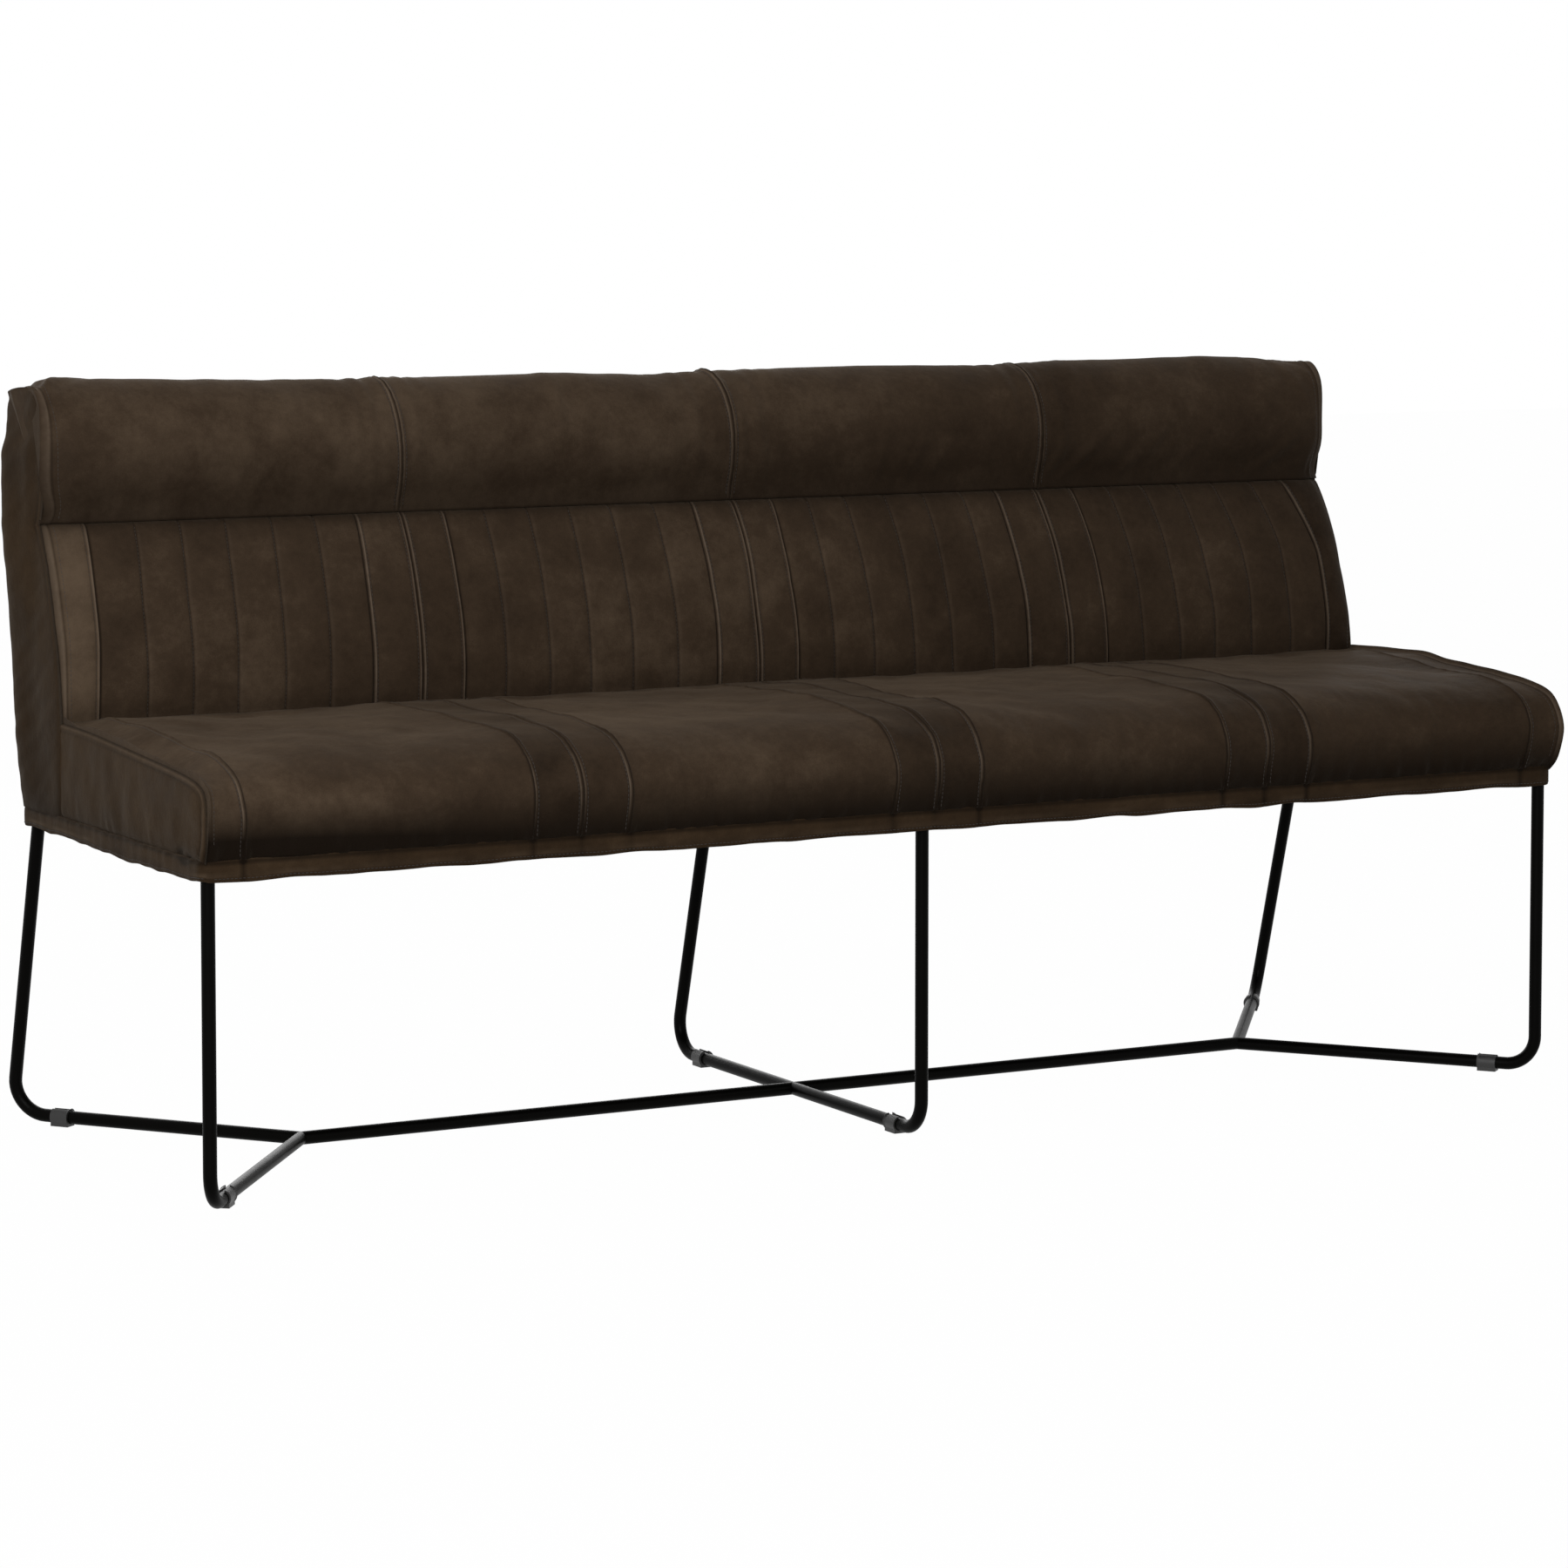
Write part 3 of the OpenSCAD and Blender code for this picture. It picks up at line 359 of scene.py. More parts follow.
def seat_profiles(xs):
    """The seat's section at places along the sofa."""
    mid, near_l, edge_l, near_r, edge_r = (
        even(smooth_line(k, 400), SEAT_ROWS) for k in (seat_mid, left_near, left_edge, right_near, right_edge))
    right = (xs > 0)[:, None, None]
    near, edge = np.where(right, near_r, near_l), np.where(right, edge_r, edge_l)
    a = np.abs(xs)[:, None, None]
    w1, w2 = step(740, 872, a), step(872, 922, a) ** 1.5
    yz = mid * (1 - w1) + near * w1
    return yz * (1 - w2) + edge * w2


def seat_face(xs):
    """Points of the seat's face, with its painted shade in the seam furrows, its worn ridges with painted
    sheen, and its painted shade low down.
    """
    g = np.zeros((len(xs), SEAT_ROWS, 3))
    g[:, :, 0], g[:, :, 1:] = xs[:, None], seat_profiles(xs)
    out = normals(g)
    s = arc(g)
    long = s[:, -1:]
    x = np.broadcast_to(xs[:, None], s.shape)
    number = count_at(x, seat_places)
    place = number - BAY * np.clip(np.floor(number / BAY), 0, STRIPS // BAY - 1)
    wide = (place > 1) & (place < BAY - 1)
    t = np.where(wide, (place - 1) / (BAY - 2), np.where(place <= 1, place, place - (BAY - 1)))
    swell = np.where(wide, 8.5, 2.4) * hump(t, 0.42)
    outer_strip = (number < 1) | (number > STRIPS - 1)
    swell = np.where(outer_strip, 3.0 * hump(np.where(x < 0, place, place - (BAY - 1)), 0.6), swell)
    foot = step(0, 34, s)
    rear = step(0, 26, long - s)
    front = step(0, 150, s) * (1 - step(120, 420, s))
    d = swell * foot * (0.35 + 0.65 * rear) * (0.72 + 0.28 * front)
    # unevenness of the padding, broad on the crown and finer where the leather is drawn down
    near = from_seam(x, [p[0] for p in seat_seams])
    d += 1.3 * Ripple(3, (180, 420), (160, 380))(x, s) * foot * rear
    d += 0.55 * Ripple(4, (50, 130), (60, 160))(x, s) * foot
    tucks = Ripple(5, (13, 44), (90, 220), 40)(x, s)
    d += tucks * (1.15 * np.exp(-s / 30) + 0.25 * np.exp(-((s - 110) / 40) ** 2)) * step(0, 6, s)
    d += 0.16 * Ripple(6, (300, 900), (13, 30), 40)(x, s) * np.exp(-near / 13) * foot
    # shallow creases that fan out from the lower ends of the seams
    for px, kind, side in seat_seams:
        for slant in (-0.9, -0.45, 0.5, 0.95):
            u = (x - px) - slant * (s - 2) - 3 * np.sign(slant)
            d -= 1.1 * bump(u, 3.2) * np.exp(-s / 26) * step(0, 5, s)
    # the seams run out on the top, sooner in the panel at the right end
    right_end = step(70, 150, s) * (x > 800)
    d += relief(x, seat_seams) * step(-4, 12, s) * (1 - 0.6 * step(110, 220, s)) * (1 - 0.7 * right_end)
    # the edge rolls over to the side's seam, with a stitched ridge beside it
    e = half - np.abs(x)
    d -= rolled_in(e, 6) * 0.8
    d += (0.7 * bump(e - RIDGE, 1.6) - 0.8 * bump(e - HOLLOW, 1.1)) * step(4, 20, s)
    g += out * d[..., None]
    g[:, :, 1] = np.minimum(g[:, :, 1], seat_end - 0.1)
    # painted shade in the seam furrows and in the hollow behind the end ridge; the ridges are lighter, worn nap
    # together with painted sheen
    plain = (1 - 0.7 * step(110, 220, s)) * (1 - 0.85 * right_end)
    groove = dark_line(x, seat_seams) * step(-4, 6, s) * plain + 0.5 * bump(e - HOLLOW, 1.0)
    rub = rubbed_and_sheen(x, seat_seams) * (1 - 0.9 * step(60, 150, s)) + 0.7 * bump(e - RIDGE, 1.6) * step(4, 20, s)
    # painted shade under the front, most at the left end, and where the seat meets the back
    low = (1 - step(0, 78, s)) ** 1.3 * np.interp(x, [-900, -500], [2.1, 1.5])
    return g, groove, rub, low + 0.8 * (1 - step(0, 16, long - s))


seat_xs = stations(seat_seams, 5.5, 0.8, 10)
seat_grid, groove, rub, low = seat_face(seat_xs)
# the pads lie on the webbing at foot_z, and end where they touch each other at hidden_z
foot_z, hidden_z = pad_z + clear, 470
seat_inner = [(seat_rear, hidden_z), (seat_rear, foot_z), (-100, foot_z), (pad_front, foot_z),
              (pad_front, cover_z)]
number = count_at(seat_xs, seat_places)
narrow = (np.abs(number % BAY - BAY / 2) > BAY / 2 - 1) & (number > 1) & (number < STRIPS - 1)
tone = panel_tone(seat_xs, seat_places, 21, 0.3) - 0.7 * narrow
# darker towards the right end: painted shade of the light falling off from the left, added to each panel's own
# random lightness
tone -= np.interp(seat_xs, [-900, 0, 900], [-0.3, 0.1, 0.8])
seat = pad("seat_cushion", seat_grid, seat_inner, seat_xs, groove=groove, tone=tone[:, None], low=low, rub=rub)
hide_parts("seat_cover", "seat_foam")


# ---------------- boxed ends of the seat
# each end lies between its sewn border and the hem, rippled like loosely drawn leather
END_POINTS, END_ACROSS = 110, 40
end_x = 925.1                # inner face of the panels
end_panels = []
side_base = np.stack([np.interp(np.linspace(0, 1, END_POINTS) ** 0.8, [0, 1], [-308, 126.2]),
                      np.full(END_POINTS, panel_z)], 1)
v = np.linspace(0, 1, END_ACROSS)[None, :, None]
for word, sign, edge in (("left", -1, left_edge), ("right", 1, right_edge)):
    border = even(smooth_line([(y, z - 1.5 * (z > 400)) for y, z in edge], 300), END_POINTS)
    yz = border[:, None] * (1 - v) + side_base[:, None] * v
    y, z = yz[..., 0], yz[..., 1]
    d_border, d_base = distance(yz, border), distance(yz, side_base)
    near = np.minimum(d_border, d_base)
    seed = 31 + sign
    rise = 4.4 * (1 - np.exp(-near / 3.5)) + 1.2 * (1 - np.exp(-near / 45))
    rise += (0.8 * Ripple(seed, (110, 260), (70, 200))(y + z, y - z) +
             0.3 * Ripple(seed + 1, (34, 80), (80, 200))(y, z)) * (1 - np.exp(-near / 18))
    rise += 0.3 * Ripple(seed + 2, (16, 34), (80, 160))(y, z) * np.exp(-d_base / 18) * (1 - np.exp(-near / 3))
    rise += 0.8 * bump(d_border - 3.5, 1.8) - 0.9 * bump(d_border - 7.5, 1.3)
    # two small pleats pulled in by the hem near the left front corner
    pleat = bump(y + 243 + 0.8 * (z - 400), 9) * bump(z - 404, 6) + 0.7 * bump(y + 272, 7) * bump(z - 402, 4)
    pleat = pleat * (sign < 0)
    rise -= 3.0 * pleat
    face = np.stack([sign * (end_x + np.maximum(rise, 0.05)), y, z], 2)
    flat = np.stack([np.full(y.shape, sign * end_x), y, z], 2)
    # painted shade in the border's furrow, in the pleats and near the foot, and painted sheen with wear on the
    # stitched ridge beside the border
    made = boxed("seat_side_" + word + "_panel", face, flat, "leather_edge", sign > 0,
                 groove=0.6 * bump(d_border - 7.5, 1.5) + 0.7 * np.exp(-d_border / 1.5) + 1.5 * pleat,
                 tone=-0.3, low=np.exp(-d_base / 22), rub=bump(d_border - 3.5, 1.8))
    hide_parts("seat_side_" + word)
    end_panels.append(made)


# ---------------- back
END_ROUND = 45               # width of the rounding towards the two ends
CURVE = 96.9                 # bend of the lower back, in mm over its height


def drawn(x):
    """How far the back is rounded off at a place, from 0 to 1 at the very end."""
    u = np.clip((np.abs(x) - half + END_ROUND) / END_ROUND, 0, 1)
    return 1 - np.sqrt(np.maximum(1 - u * u, 0))


def back_face_y(z):
    """The lower back's face before it is padded, in the middle of the sofa."""
    t = np.maximum(0, (z - seat_line) / (seam_z - seat_line))
    return back_foot - 4 + CURVE * (t - 0.2) ** 2 + (4 - CURVE * 0.04) * np.maximum(0, 1 - 5 * t)


def end_back(z):
    """How far that face lies further back at the very end."""
    return 25 * np.clip((z - seat_line) / 110, 0, 1)


BACK_ROWS = 64
# how far the channels lean along the sofa at their top and at their foot, by the number of the seam
fan_at = [0, 2, 5, 8, 12, 16, 20, 23, 26, 28, 30, 31, 32]
fan_top = [0, 6, 5.5, 1.5, 0, -1.5, -2.5, -5, -9, -11, -16, -24, 0]
fan_foot = [0, 1, 0, 2, 3.5, 5, 7.5, 9, 10, 9, 6, 5, 0]


def back_face(xs):
    """Points of the channelled face, with its painted shade in the seam furrows, its worn ridges with painted
    sheen, and its painted shade at the top and foot.
    """
    z = np.linspace(498, shut_z, BACK_ROWS)
    x, zz = np.meshgrid(xs, z, indexing="ij")
    y = back_face_y(zz) + end_back(zz) * drawn(x)
    s = count_at(x, back_places)
    channel = s - np.floor(np.minimum(s, STRIPS - 0.001))
    under = shut_z - zz
    free = step(0, 22, under)
    d = 3.6 * hump(channel, 0.5) * (0.35 + 0.65 * free)
    d += 0.7 * Ripple(41, (90, 300), (120, 300))(x, zz) + 0.22 * Ripple(42, (20, 60), (50, 160))(x, zz)
    # small drag lines where the panel is gathered into the cross seam
    d += 0.8 * Ripple(43, (9, 24), (90, 200), 40)(x, zz) * np.exp(-under / 12)
    d += relief(x, back_seams) * (0.6 + 0.4 * free)
    e = half - np.abs(x)
    d -= rolled_in(e, 6) * 0.7
    d += 0.7 * bump(e - RIDGE, 1.6) - 0.8 * bump(e - 5.0, 1.1)
    d -= 5.0 * np.exp(-under / 2.5)
    # the channels are sewn in slanting lines, so they stand closer or wider at the top and at the foot
    up = np.clip((zz - 640) / 85, 0, 1.2)
    up = 1.35 * up ** 2 / (up + 0.35) * np.interp(s, fan_at, fan_top)
    down = np.clip((640 - zz) / 95, 0, 1.3) * np.interp(s, fan_at, fan_foot)
    g = np.stack([tapered(x + up + down, y, zz), y - d, zz], 2)
    # painted shade in the seam furrows, lighter ridges of worn nap with painted sheen, and painted shade under
    # the cross seam and down by the seat
    groove = dark_line(x, back_seams) + 0.5 * bump(e - 5.0, 1.0)
    rub = rubbed_and_sheen(x, back_seams) + 0.7 * bump(e - RIDGE, 1.6)
    shut_shade = np.exp(-under / 9) + 0.5 * np.exp(-np.maximum(zz - 519, 0) / 12)
    return g, groove, rub, shut_shade


back_xs = stations(back_seams, 5.5, 0.85, 7)
back_grid, groove, rub, shut_shade = back_face(back_xs)
back_inner = [(post_front(z) - 0.6, z) for z in (shut_z, 680, 600, 520, pad_z + 0.5)]
back_inner += [(back_foot + 0.3, pad_z + 0.5), (back_foot + 0.3, hidden_z)]
tone = panel_tone(back_xs, seat_places, 22, 0.25) + panel_tone(back_xs, back_places, 23, 0.2)
tone += 1.9 * (back_xs < back_places[1]) - 1.2 * (back_xs > back_places[STRIPS - 1])
# darker towards the right end: painted shade of the light falling off from the left
tone -= np.interp(back_xs, [-900, 0, 300, 900], [0.0, 0.0, 0.3, 0.8])
back = pad("back_channelled_pad", back_grid, back_inner, back_xs, turned=True,
           groove=groove, tone=tone[:, None], low=shut_shade, rub=rub)
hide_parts("back_channel_panel", "back_foam")

# ---------------- bolster
LOW, QUARTER = 30, 34        # points of the section under its nose, and on each quarter over it
BOLSTER_ROWS = LOW + 2 * QUARTER + 1
UNDER_R = 120                # radius of the section under the nose


def bolster_line(e):
    """Section of the bolster from the cross seam over the ridge to the rear seam, drawn in by e."""
    power = 2 + 1.4 * e
    nose = nose_y + 25 * e
    run, rise, rear = ridge_y - nose, crest - 9 * e - nose_z, rear_skin(rear_seam) - ridge_y
    low = math.asin((nose_z - seam_z - 0.3) / UNDER_R)
    pts = [(ridge_y - run * math.cos(low * k / LOW), nose_z - UNDER_R * math.sin(low * k / LOW))
           for k in range(LOW, 0, -1)]
    for k in range(QUARTER + 1):
        a = math.pi / 2 * k / QUARTER
        pts.append((ridge_y - run * max(0, math.cos(a)) ** (2 / power),
                    nose_z + rise * math.sin(a) ** (2 / power)))
    for k in range(QUARTER - 1, -1, -1):
        a = math.pi / 2 * k / QUARTER
        pts.append((ridge_y + rear * math.cos(a) ** (2 / power),
                    rear_seam + (nose_z + rise - rear_seam) * math.sin(a) ** (2 / power)))
    return even(np.array(pts), BOLSTER_ROWS)


# creases: place along, place round (mm from the cross seam), slant, length, width, depth
creases = [(-905, 190, 0.5, 60, 7, 2.2), (-880, 215, 0.9, 55, 8, 1.8), (-850, 228, 1.2, 60, 8, 1.4),
           (-520, 95, 0.06, 70, 7, 1.6), (-500, 110, 0.03, 80, 7, 1.8), (-440, 100, -0.05, 80, 7, 1.6),
           (-240, 120, 0.05, 85, 9, 1.5), (-205, 105, 0.1, 75, 8, 1.3), (-90, 90, -0.1, 60, 8, 1.2),
           (-52, 110, 0.03, 80, 7, 1.9), (-28, 95, -0.03, 70, 6, 1.5), (38, 105, -0.04, 80, 8, 1.6),
           (222, 62, 0.25, 55, 6, 1.2), (248, 48, 0.4, 45, 6, 1.3), (272, 55, 0.5, 48, 7, 1.3),
           (305, 45, 0.6, 45, 7, 1.1), (420, 110, 0.05, 80, 7, 1.3), (492, 105, -0.04, 85, 7, 1.3),
           (482, 34, 0.5, 32, 6, 2.0), (526, 44, 0.9, 42, 7, 3.0), (551, 60, 0.9, 42, 7, 2.3),
           (612, 42, 0.9, 44, 8, 3.0), (642, 60, 0.8, 44, 7, 2.2), (700, 48, 0.8, 46, 7, 1.6),
           (832, 32, 1.3, 48, 8, 2.6), (880, 150, -0.4, 70, 9, 1.2), (905, 205, -0.6, 50, 8, 2.6),
           (-640, 60, 0.6, 48, 8, 1.2), (-700, 50, -0.5, 45, 8, 1.2)]
# how far the ridge stands above its plain height, by the place along the sofa
ridge_at = [-924, -912, -905, -850, -745, -640, -530, -464, -400, -310, -200, -85, 0, 80, 150, 230, 360, 458,
            530, 665, 760, 830, 880, 925]
ridge_lift = [6, 9.5, 12, 11, 8.5, 5.5, 3.5, 2, 4, 5, 5, 1.5, 2, 4, 6, 7, 3.5, 2.5,
              7, 8, 8.5, 8, 3, 0]


def bolster_face(xs):
    """Points of the bolster's face, with its painted shade in the seam furrows, its worn ridges with painted
    sheen, and its painted shade over the cross seam.
    """
    g = np.zeros((len(xs), BOLSTER_ROWS, 3))
    for i, x in enumerate(xs):
        g[i, :, 0] = x
        g[i, :, 1:] = bolster_line(float(drawn(x)))
    out = normals(g)
    s = arc(g)
    long = s[:, -1:]
    x = np.broadcast_to(xs[:, None], s.shape)
    t = count_at(x, bolster_places) / BAY
    t = t - np.clip(np.floor(t), 0, STRIPS // BAY - 1)
    foot = 1 - np.exp(-s / 7)
    rear = 1 - np.exp(-(long - s) / 10)
    d = (4.2 * hump(t, 0.3) + 1.6) * foot * rear
    # the panels sag over the cross seam
    d += 3.2 * bump(s - 20, 20) * (0.6 + 0.4 * hump(t, 0.5)) * foot
    top = 1 - 0.55 * step(170, 230, s)
    d += 1.1 * Ripple(51, (180, 460), (140, 320))(x, s) * rear * step(0, 40, s) * top
    d += 0.4 * Ripple(52, (45, 120), (120, 320))(x, s) * step(0, 25, s) * top
    edge = from_seam(x, [p[0] for p in bolster_seams])
    d += 0.7 * Ripple(53, (14, 34), (160, 420))(x, s) * np.exp(-edge / 45) * step(8, 60, s)
    d += 0.7 * Ripple(54, (12, 32), (60, 160), 40)(x, s) * np.exp(-s / 28) * step(0, 6, s)
    d += 0.2 * Ripple(55, (300, 800), (12, 26), 40)(x, s) * np.exp(-edge / 11)
    for cx, cs, slant, length, width, depth in creases:
        c = 1 / math.hypot(1, slant)
        across, along = ((x - cx) - slant * (s - cs)) * c, ((s - cs) + slant * (x - cx)) * c
        fold = bump(across, width) - 0.45 * bump(np.abs(across) - 1.7 * width, width)
        d -= depth * fold * bump(along, length)
    d += relief(x, bolster_seams) * step(-5, 12, s) * (1 - 0.95 * step(120, 170, s))
    d -= 0.4 * bump(edge, 16) * step(120, 190, s)
    # the ends roll over, more on the top than in front and not at the rear seam
    e = half - np.abs(x)
    fold = 0.8 * (1 - step(long - 45, long - 6, s))
    d -= rolled_in(e, 9 + 8 * step(170, 225, s)) * fold
    d += (0.7 * bump(e - 2.2, 1.6) - 0.7 * bump(e - 4.6, 1.1)) * foot
    d += (x > 0) * 3.0 * bump(e - 22, 16) * bump(s - 205, 40)
    g += out * d[..., None]
    # the ridge rises and falls a little along the sofa, and rounds off behind at the ends
    lift = np.interp(xs, ridge_at, ridge_lift)[:, None]
    lift = lift - 14 * step(225, 320, g[:, :, 1]) * step(half - 30, half, np.abs(x))
    g[:, :, 2] += lift * step(812, 900, g[:, :, 2])
    g[:, :, 0] = tapered(g[:, :, 0], g[:, :, 1], g[:, :, 2])
    # the ends are drawn in over the cross seam
    g[:, :, 0] -= np.sign(x) * 6 * bump(g[:, :, 2] - 756, 25) * step(820, half, np.abs(x))
    # painted shade in the seam furrows and over the cross seam; the lighter ridges are worn nap with painted
    # sheen
    groove = dark_line(x, bolster_seams) * foot + 0.5 * bump(e - 4.6, 1.0)
    rub = (rubbed_and_sheen(x, bolster_seams) + 0.6 * bump(e - 2.2, 1.6)) * foot
    shut_shade = 0.95 * np.exp(-s / 34) + 0.35 * bump(s - 45, 45)
    return g, groove, rub, shut_shade


bolster_xs = stations(bolster_seams, 5.0, 0.8, 12)
bolster_grid, groove, rub, shut_shade = bolster_face(bolster_xs)
post_rear = rear_y(post_top) - 3.9
bolster_inner = [(post_rear, rear_seam - 3), (post_rear, post_top + clear),
                 (post_front(post_top) - clear, post_top + clear), (post_front(780) - clear, 780),
                 (post_front(seam_z) - clear, seam_z + clear)]
# darker towards the right end: painted shade of the light falling off from the left, over the bolster's own
# changes of lightness along it
tone = np.interp(bolster_xs, [-900, -700, -300, -100, 0, 300, 900], [0.2, 0.9, 1.0, 0.5, 0.3, 0.0, -0.5])
tone += panel_tone(bolster_xs, bolster_places, 24, 0.15)
bolster = pad("bolster_pad", bolster_grid, bolster_inner, bolster_xs, groove=groove, tone=tone[:, None],
              low=shut_shade, rub=rub)
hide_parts("back_bolster_cover", "bolster_foam")

# ---------------- ends and rear of the back
SIDE_POINTS, SIDE_ACROSS = 140, 30
back_end_x = 925.4           # inner face of the boxed ends before they lean
end_z = np.linspace(panel_z, seam_z - 1, 46)
lower_edge = np.stack([back_face_y(end_z) + end_back(end_z) + 0.5, end_z], 1)
lower_edge[end_z < seat_line, 0] = back_foot + 0.5
down = np.linspace(rear_seam - 2, panel_z, 60)
# how much fuller the ends are towards the rear, by height
full_at = [398, 421, 474, 526, 579, 632, 684, 737, 779, 821, 863, 884]
full_by = [0.5, 4.5, 6, 6.5, 6, 7.5, 8, 9.5, 8, 5, 1.5, 0]
for word, sign in (("left", -1), ("right", 1)):
    # the two edges meet at the top, so each row spans the end from front to rear
    upper_edge = bolster_grid[0 if sign < 0 else -1][:, 1:]
    top_at = int(np.argmax(upper_edge[:, 1]))
    front_edge = even(np.vstack([lower_edge, upper_edge[2:top_at + 1:2]]), SIDE_POINTS)
    rear_down = np.vstack([upper_edge[top_at:-1:2], np.stack([rear_skin(down), down], 1)])
    rear_edge = even(rear_down, SIDE_POINTS)[::-1]
    v = np.linspace(0, 1, SIDE_ACROSS)[None, :, None]
    yz = front_edge[:, None] * (1 - v) + rear_edge[:, None] * v
    y, z = yz[..., 0], yz[..., 1]
    near = distance(yz, np.vstack([front_edge, rear_edge]))
    rise = 3.6 * (1 - np.exp(-near / 4)) + 1.5 * (1 - np.exp(-near / 30))
    rise += (0.9 * Ripple(61 + sign, (90, 220), (120, 300))(y, z) +
             0.3 * Ripple(64, (30, 70), (90, 220))(y + z, z)) * (1 - np.exp(-near / 14))
    # the stitched ridge along the front edge stops short of the top
    sewn = distance(yz, front_edge) + 30 * step(880, 892, z)
    rise += 0.6 * bump(sewn - 3.5, 1.8) - 0.6 * bump(sewn - 7.5, 1.3)
    # the wadding folded round the rear post makes the end fuller towards the rear
    by_post = np.exp(-((rear_skin(z) - y - 24) / 34) ** 2)
    rise += np.interp(z, full_at, full_by) * by_post * (1 - np.exp(-near / 6))
    x0 = back_end_x - end_taper(z, y)
    face = np.stack([sign * (x0 + np.maximum(rise, 0.05)), y, z], 2)
    # painted shade over the whole end and more towards its foot, painted shade in the front edge's furrow, and
    # painted sheen with wear on the stitched ridge
    side = boxed("back_side_" + word + "_panel", face, np.stack([sign * x0, y, z], 2), "leather_edge", sign < 0,
                 groove=0.6 * bump(sewn - 7.5, 1.5) + 0.7 * np.exp(-sewn / 1.5), tone=-0.5,
                 low=0.25 + np.exp(-np.maximum(z - 404, 0) / 30), rub=0.5 * bump(sewn - 3.5, 2))
    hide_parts("back_side_" + word)
    end_panels.append(side)

REAR_ROWS = 60
rear_xs = np.linspace(-half, half, 180)
rear_z = np.linspace(hem_top + 0.3, rear_seam - 0.6, REAR_ROWS)
x, z = np.meshgrid(rear_xs, rear_z, indexing="ij")
lift = 0.35 + 0.3 * Ripple(71, (120, 420), (140, 360))(x, z)
lift += 0.5 * Ripple(72, (14, 40), (90, 200))(x, z) * (np.exp(-(z - 400) / 26) + np.exp(-(861 - z) / 22))
seam_line = from_seam(x, [seam_x(i) for i in range(BAY, STRIPS, BAY)])
lift -= 1.0 * bump(seam_line, 2.5)
y = rear_skin(z) - 5 * step(half - 26, half, np.abs(x)) ** 2
outer = np.stack([tapered(x, y, z), y + np.clip(lift, -1.5, 2.5), z], 2)
inner = np.stack([tapered(x, y, z), y - 3.6, z], 2)[:, ::-1]
blank = np.zeros_like(x)
# painted shade in the seam lines and towards the foot
rear = loft("back_rear_leather", np.concatenate([outer, inner], 1)[:, ::-1], "leather_edge",
            groove=np.concatenate([bump(seam_line, 3), blank], 1)[:, ::-1],
            tone=np.zeros((len(rear_xs), 2 * REAR_ROWS)),
            low=np.concatenate([np.exp(-(z - 400) / 30), blank], 1)[:, ::-1])
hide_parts("back_rear_cover")

# ---------------- rolled hem, all round
HEM_STEP = 0.16              # points of the hem per millimetre
CORNER_STEPS = 8
hem_x, hem_out, hem_r = 927.3, 2.65, 10.6     # middle line, its distance from the outside, and its corners
roll_t, roll_h = 2.55, 11.8                   # half the hem's thickness and height


def ring_path():
    """Middle line of the hem in plan, with its outward directions."""
    x1, y0, y1, r = hem_x - hem_r, hem_front + hem_out, hem_rear - hem_out, hem_r
    pts, outs = [], []

    def straight(a, b, out):
        n = int(math.dist(a, b) * HEM_STEP)
        for k in range(n):
            t = k / n
            pts.append((a[0] + (b[0] - a[0]) * t, a[1] + (b[1] - a[1]) * t))
            outs.append(out)

    def corner(cx, cy, start):
        for k in range(CORNER_STEPS):
            a = math.radians(start + 90 * k / CORNER_STEPS)
            pts.append((cx + r * math.cos(a), cy + r * math.sin(a)))
            outs.append((math.cos(a), math.sin(a)))

    straight((-x1, y0), (x1, y0), (0, -1))
    corner(x1, y0 + r, -90)
    straight((hem_x, y0 + r), (hem_x, y1 - r), (1, 0))
    corner(x1, y1 - r, 0)
    straight((x1, y1), (-x1, y1), (0, 1))
    corner(-x1, y1 - r, 90)
    straight((-hem_x, y1 - r), (-hem_x, y0 + r), (-1, 0))
    corner(-x1, y0 + r, 180)
    return np.array(pts), np.array(outs)


path, path_out = ring_path()
turns = np.linspace(0, 2 * math.pi, 26, endpoint=False)
section = np.stack([roll_t * np.sign(np.cos(turns)) * np.abs(np.cos(turns)) ** 0.55,
                    roll_h * np.sign(np.sin(turns)) * np.abs(np.sin(turns)) ** 0.6], 1)
way = travel(path)
total = way[-1] + np.linalg.norm(path[0] - path[-1])


def around(periods, seed, count=14):
    """Unevenness along the hem that closes on itself."""
    rng = np.random.default_rng(seed)
    value = np.zeros(len(way))
    for p in rng.uniform(periods[0], periods[1], count):
        n = max(1, round(total / p))
        value += np.sin(2 * math.pi * n * way / total + rng.uniform(0, 6.28))
    return value * math.sqrt(2 / count)


# the hem hangs down unevenly, most at the left end
sag = (0.2 * around((220, 700), 81) + 0.1 * around((30, 90), 82)) * (1 + 2.5 * (path_out[:, 0] < -0.5))
pinch = around((14, 40), 83, 30)
fat = around((60, 160), 84)
hem = np.zeros((len(path), len(turns), 3))
zc = (hem_foot + hem_top) / 2 - 0.1
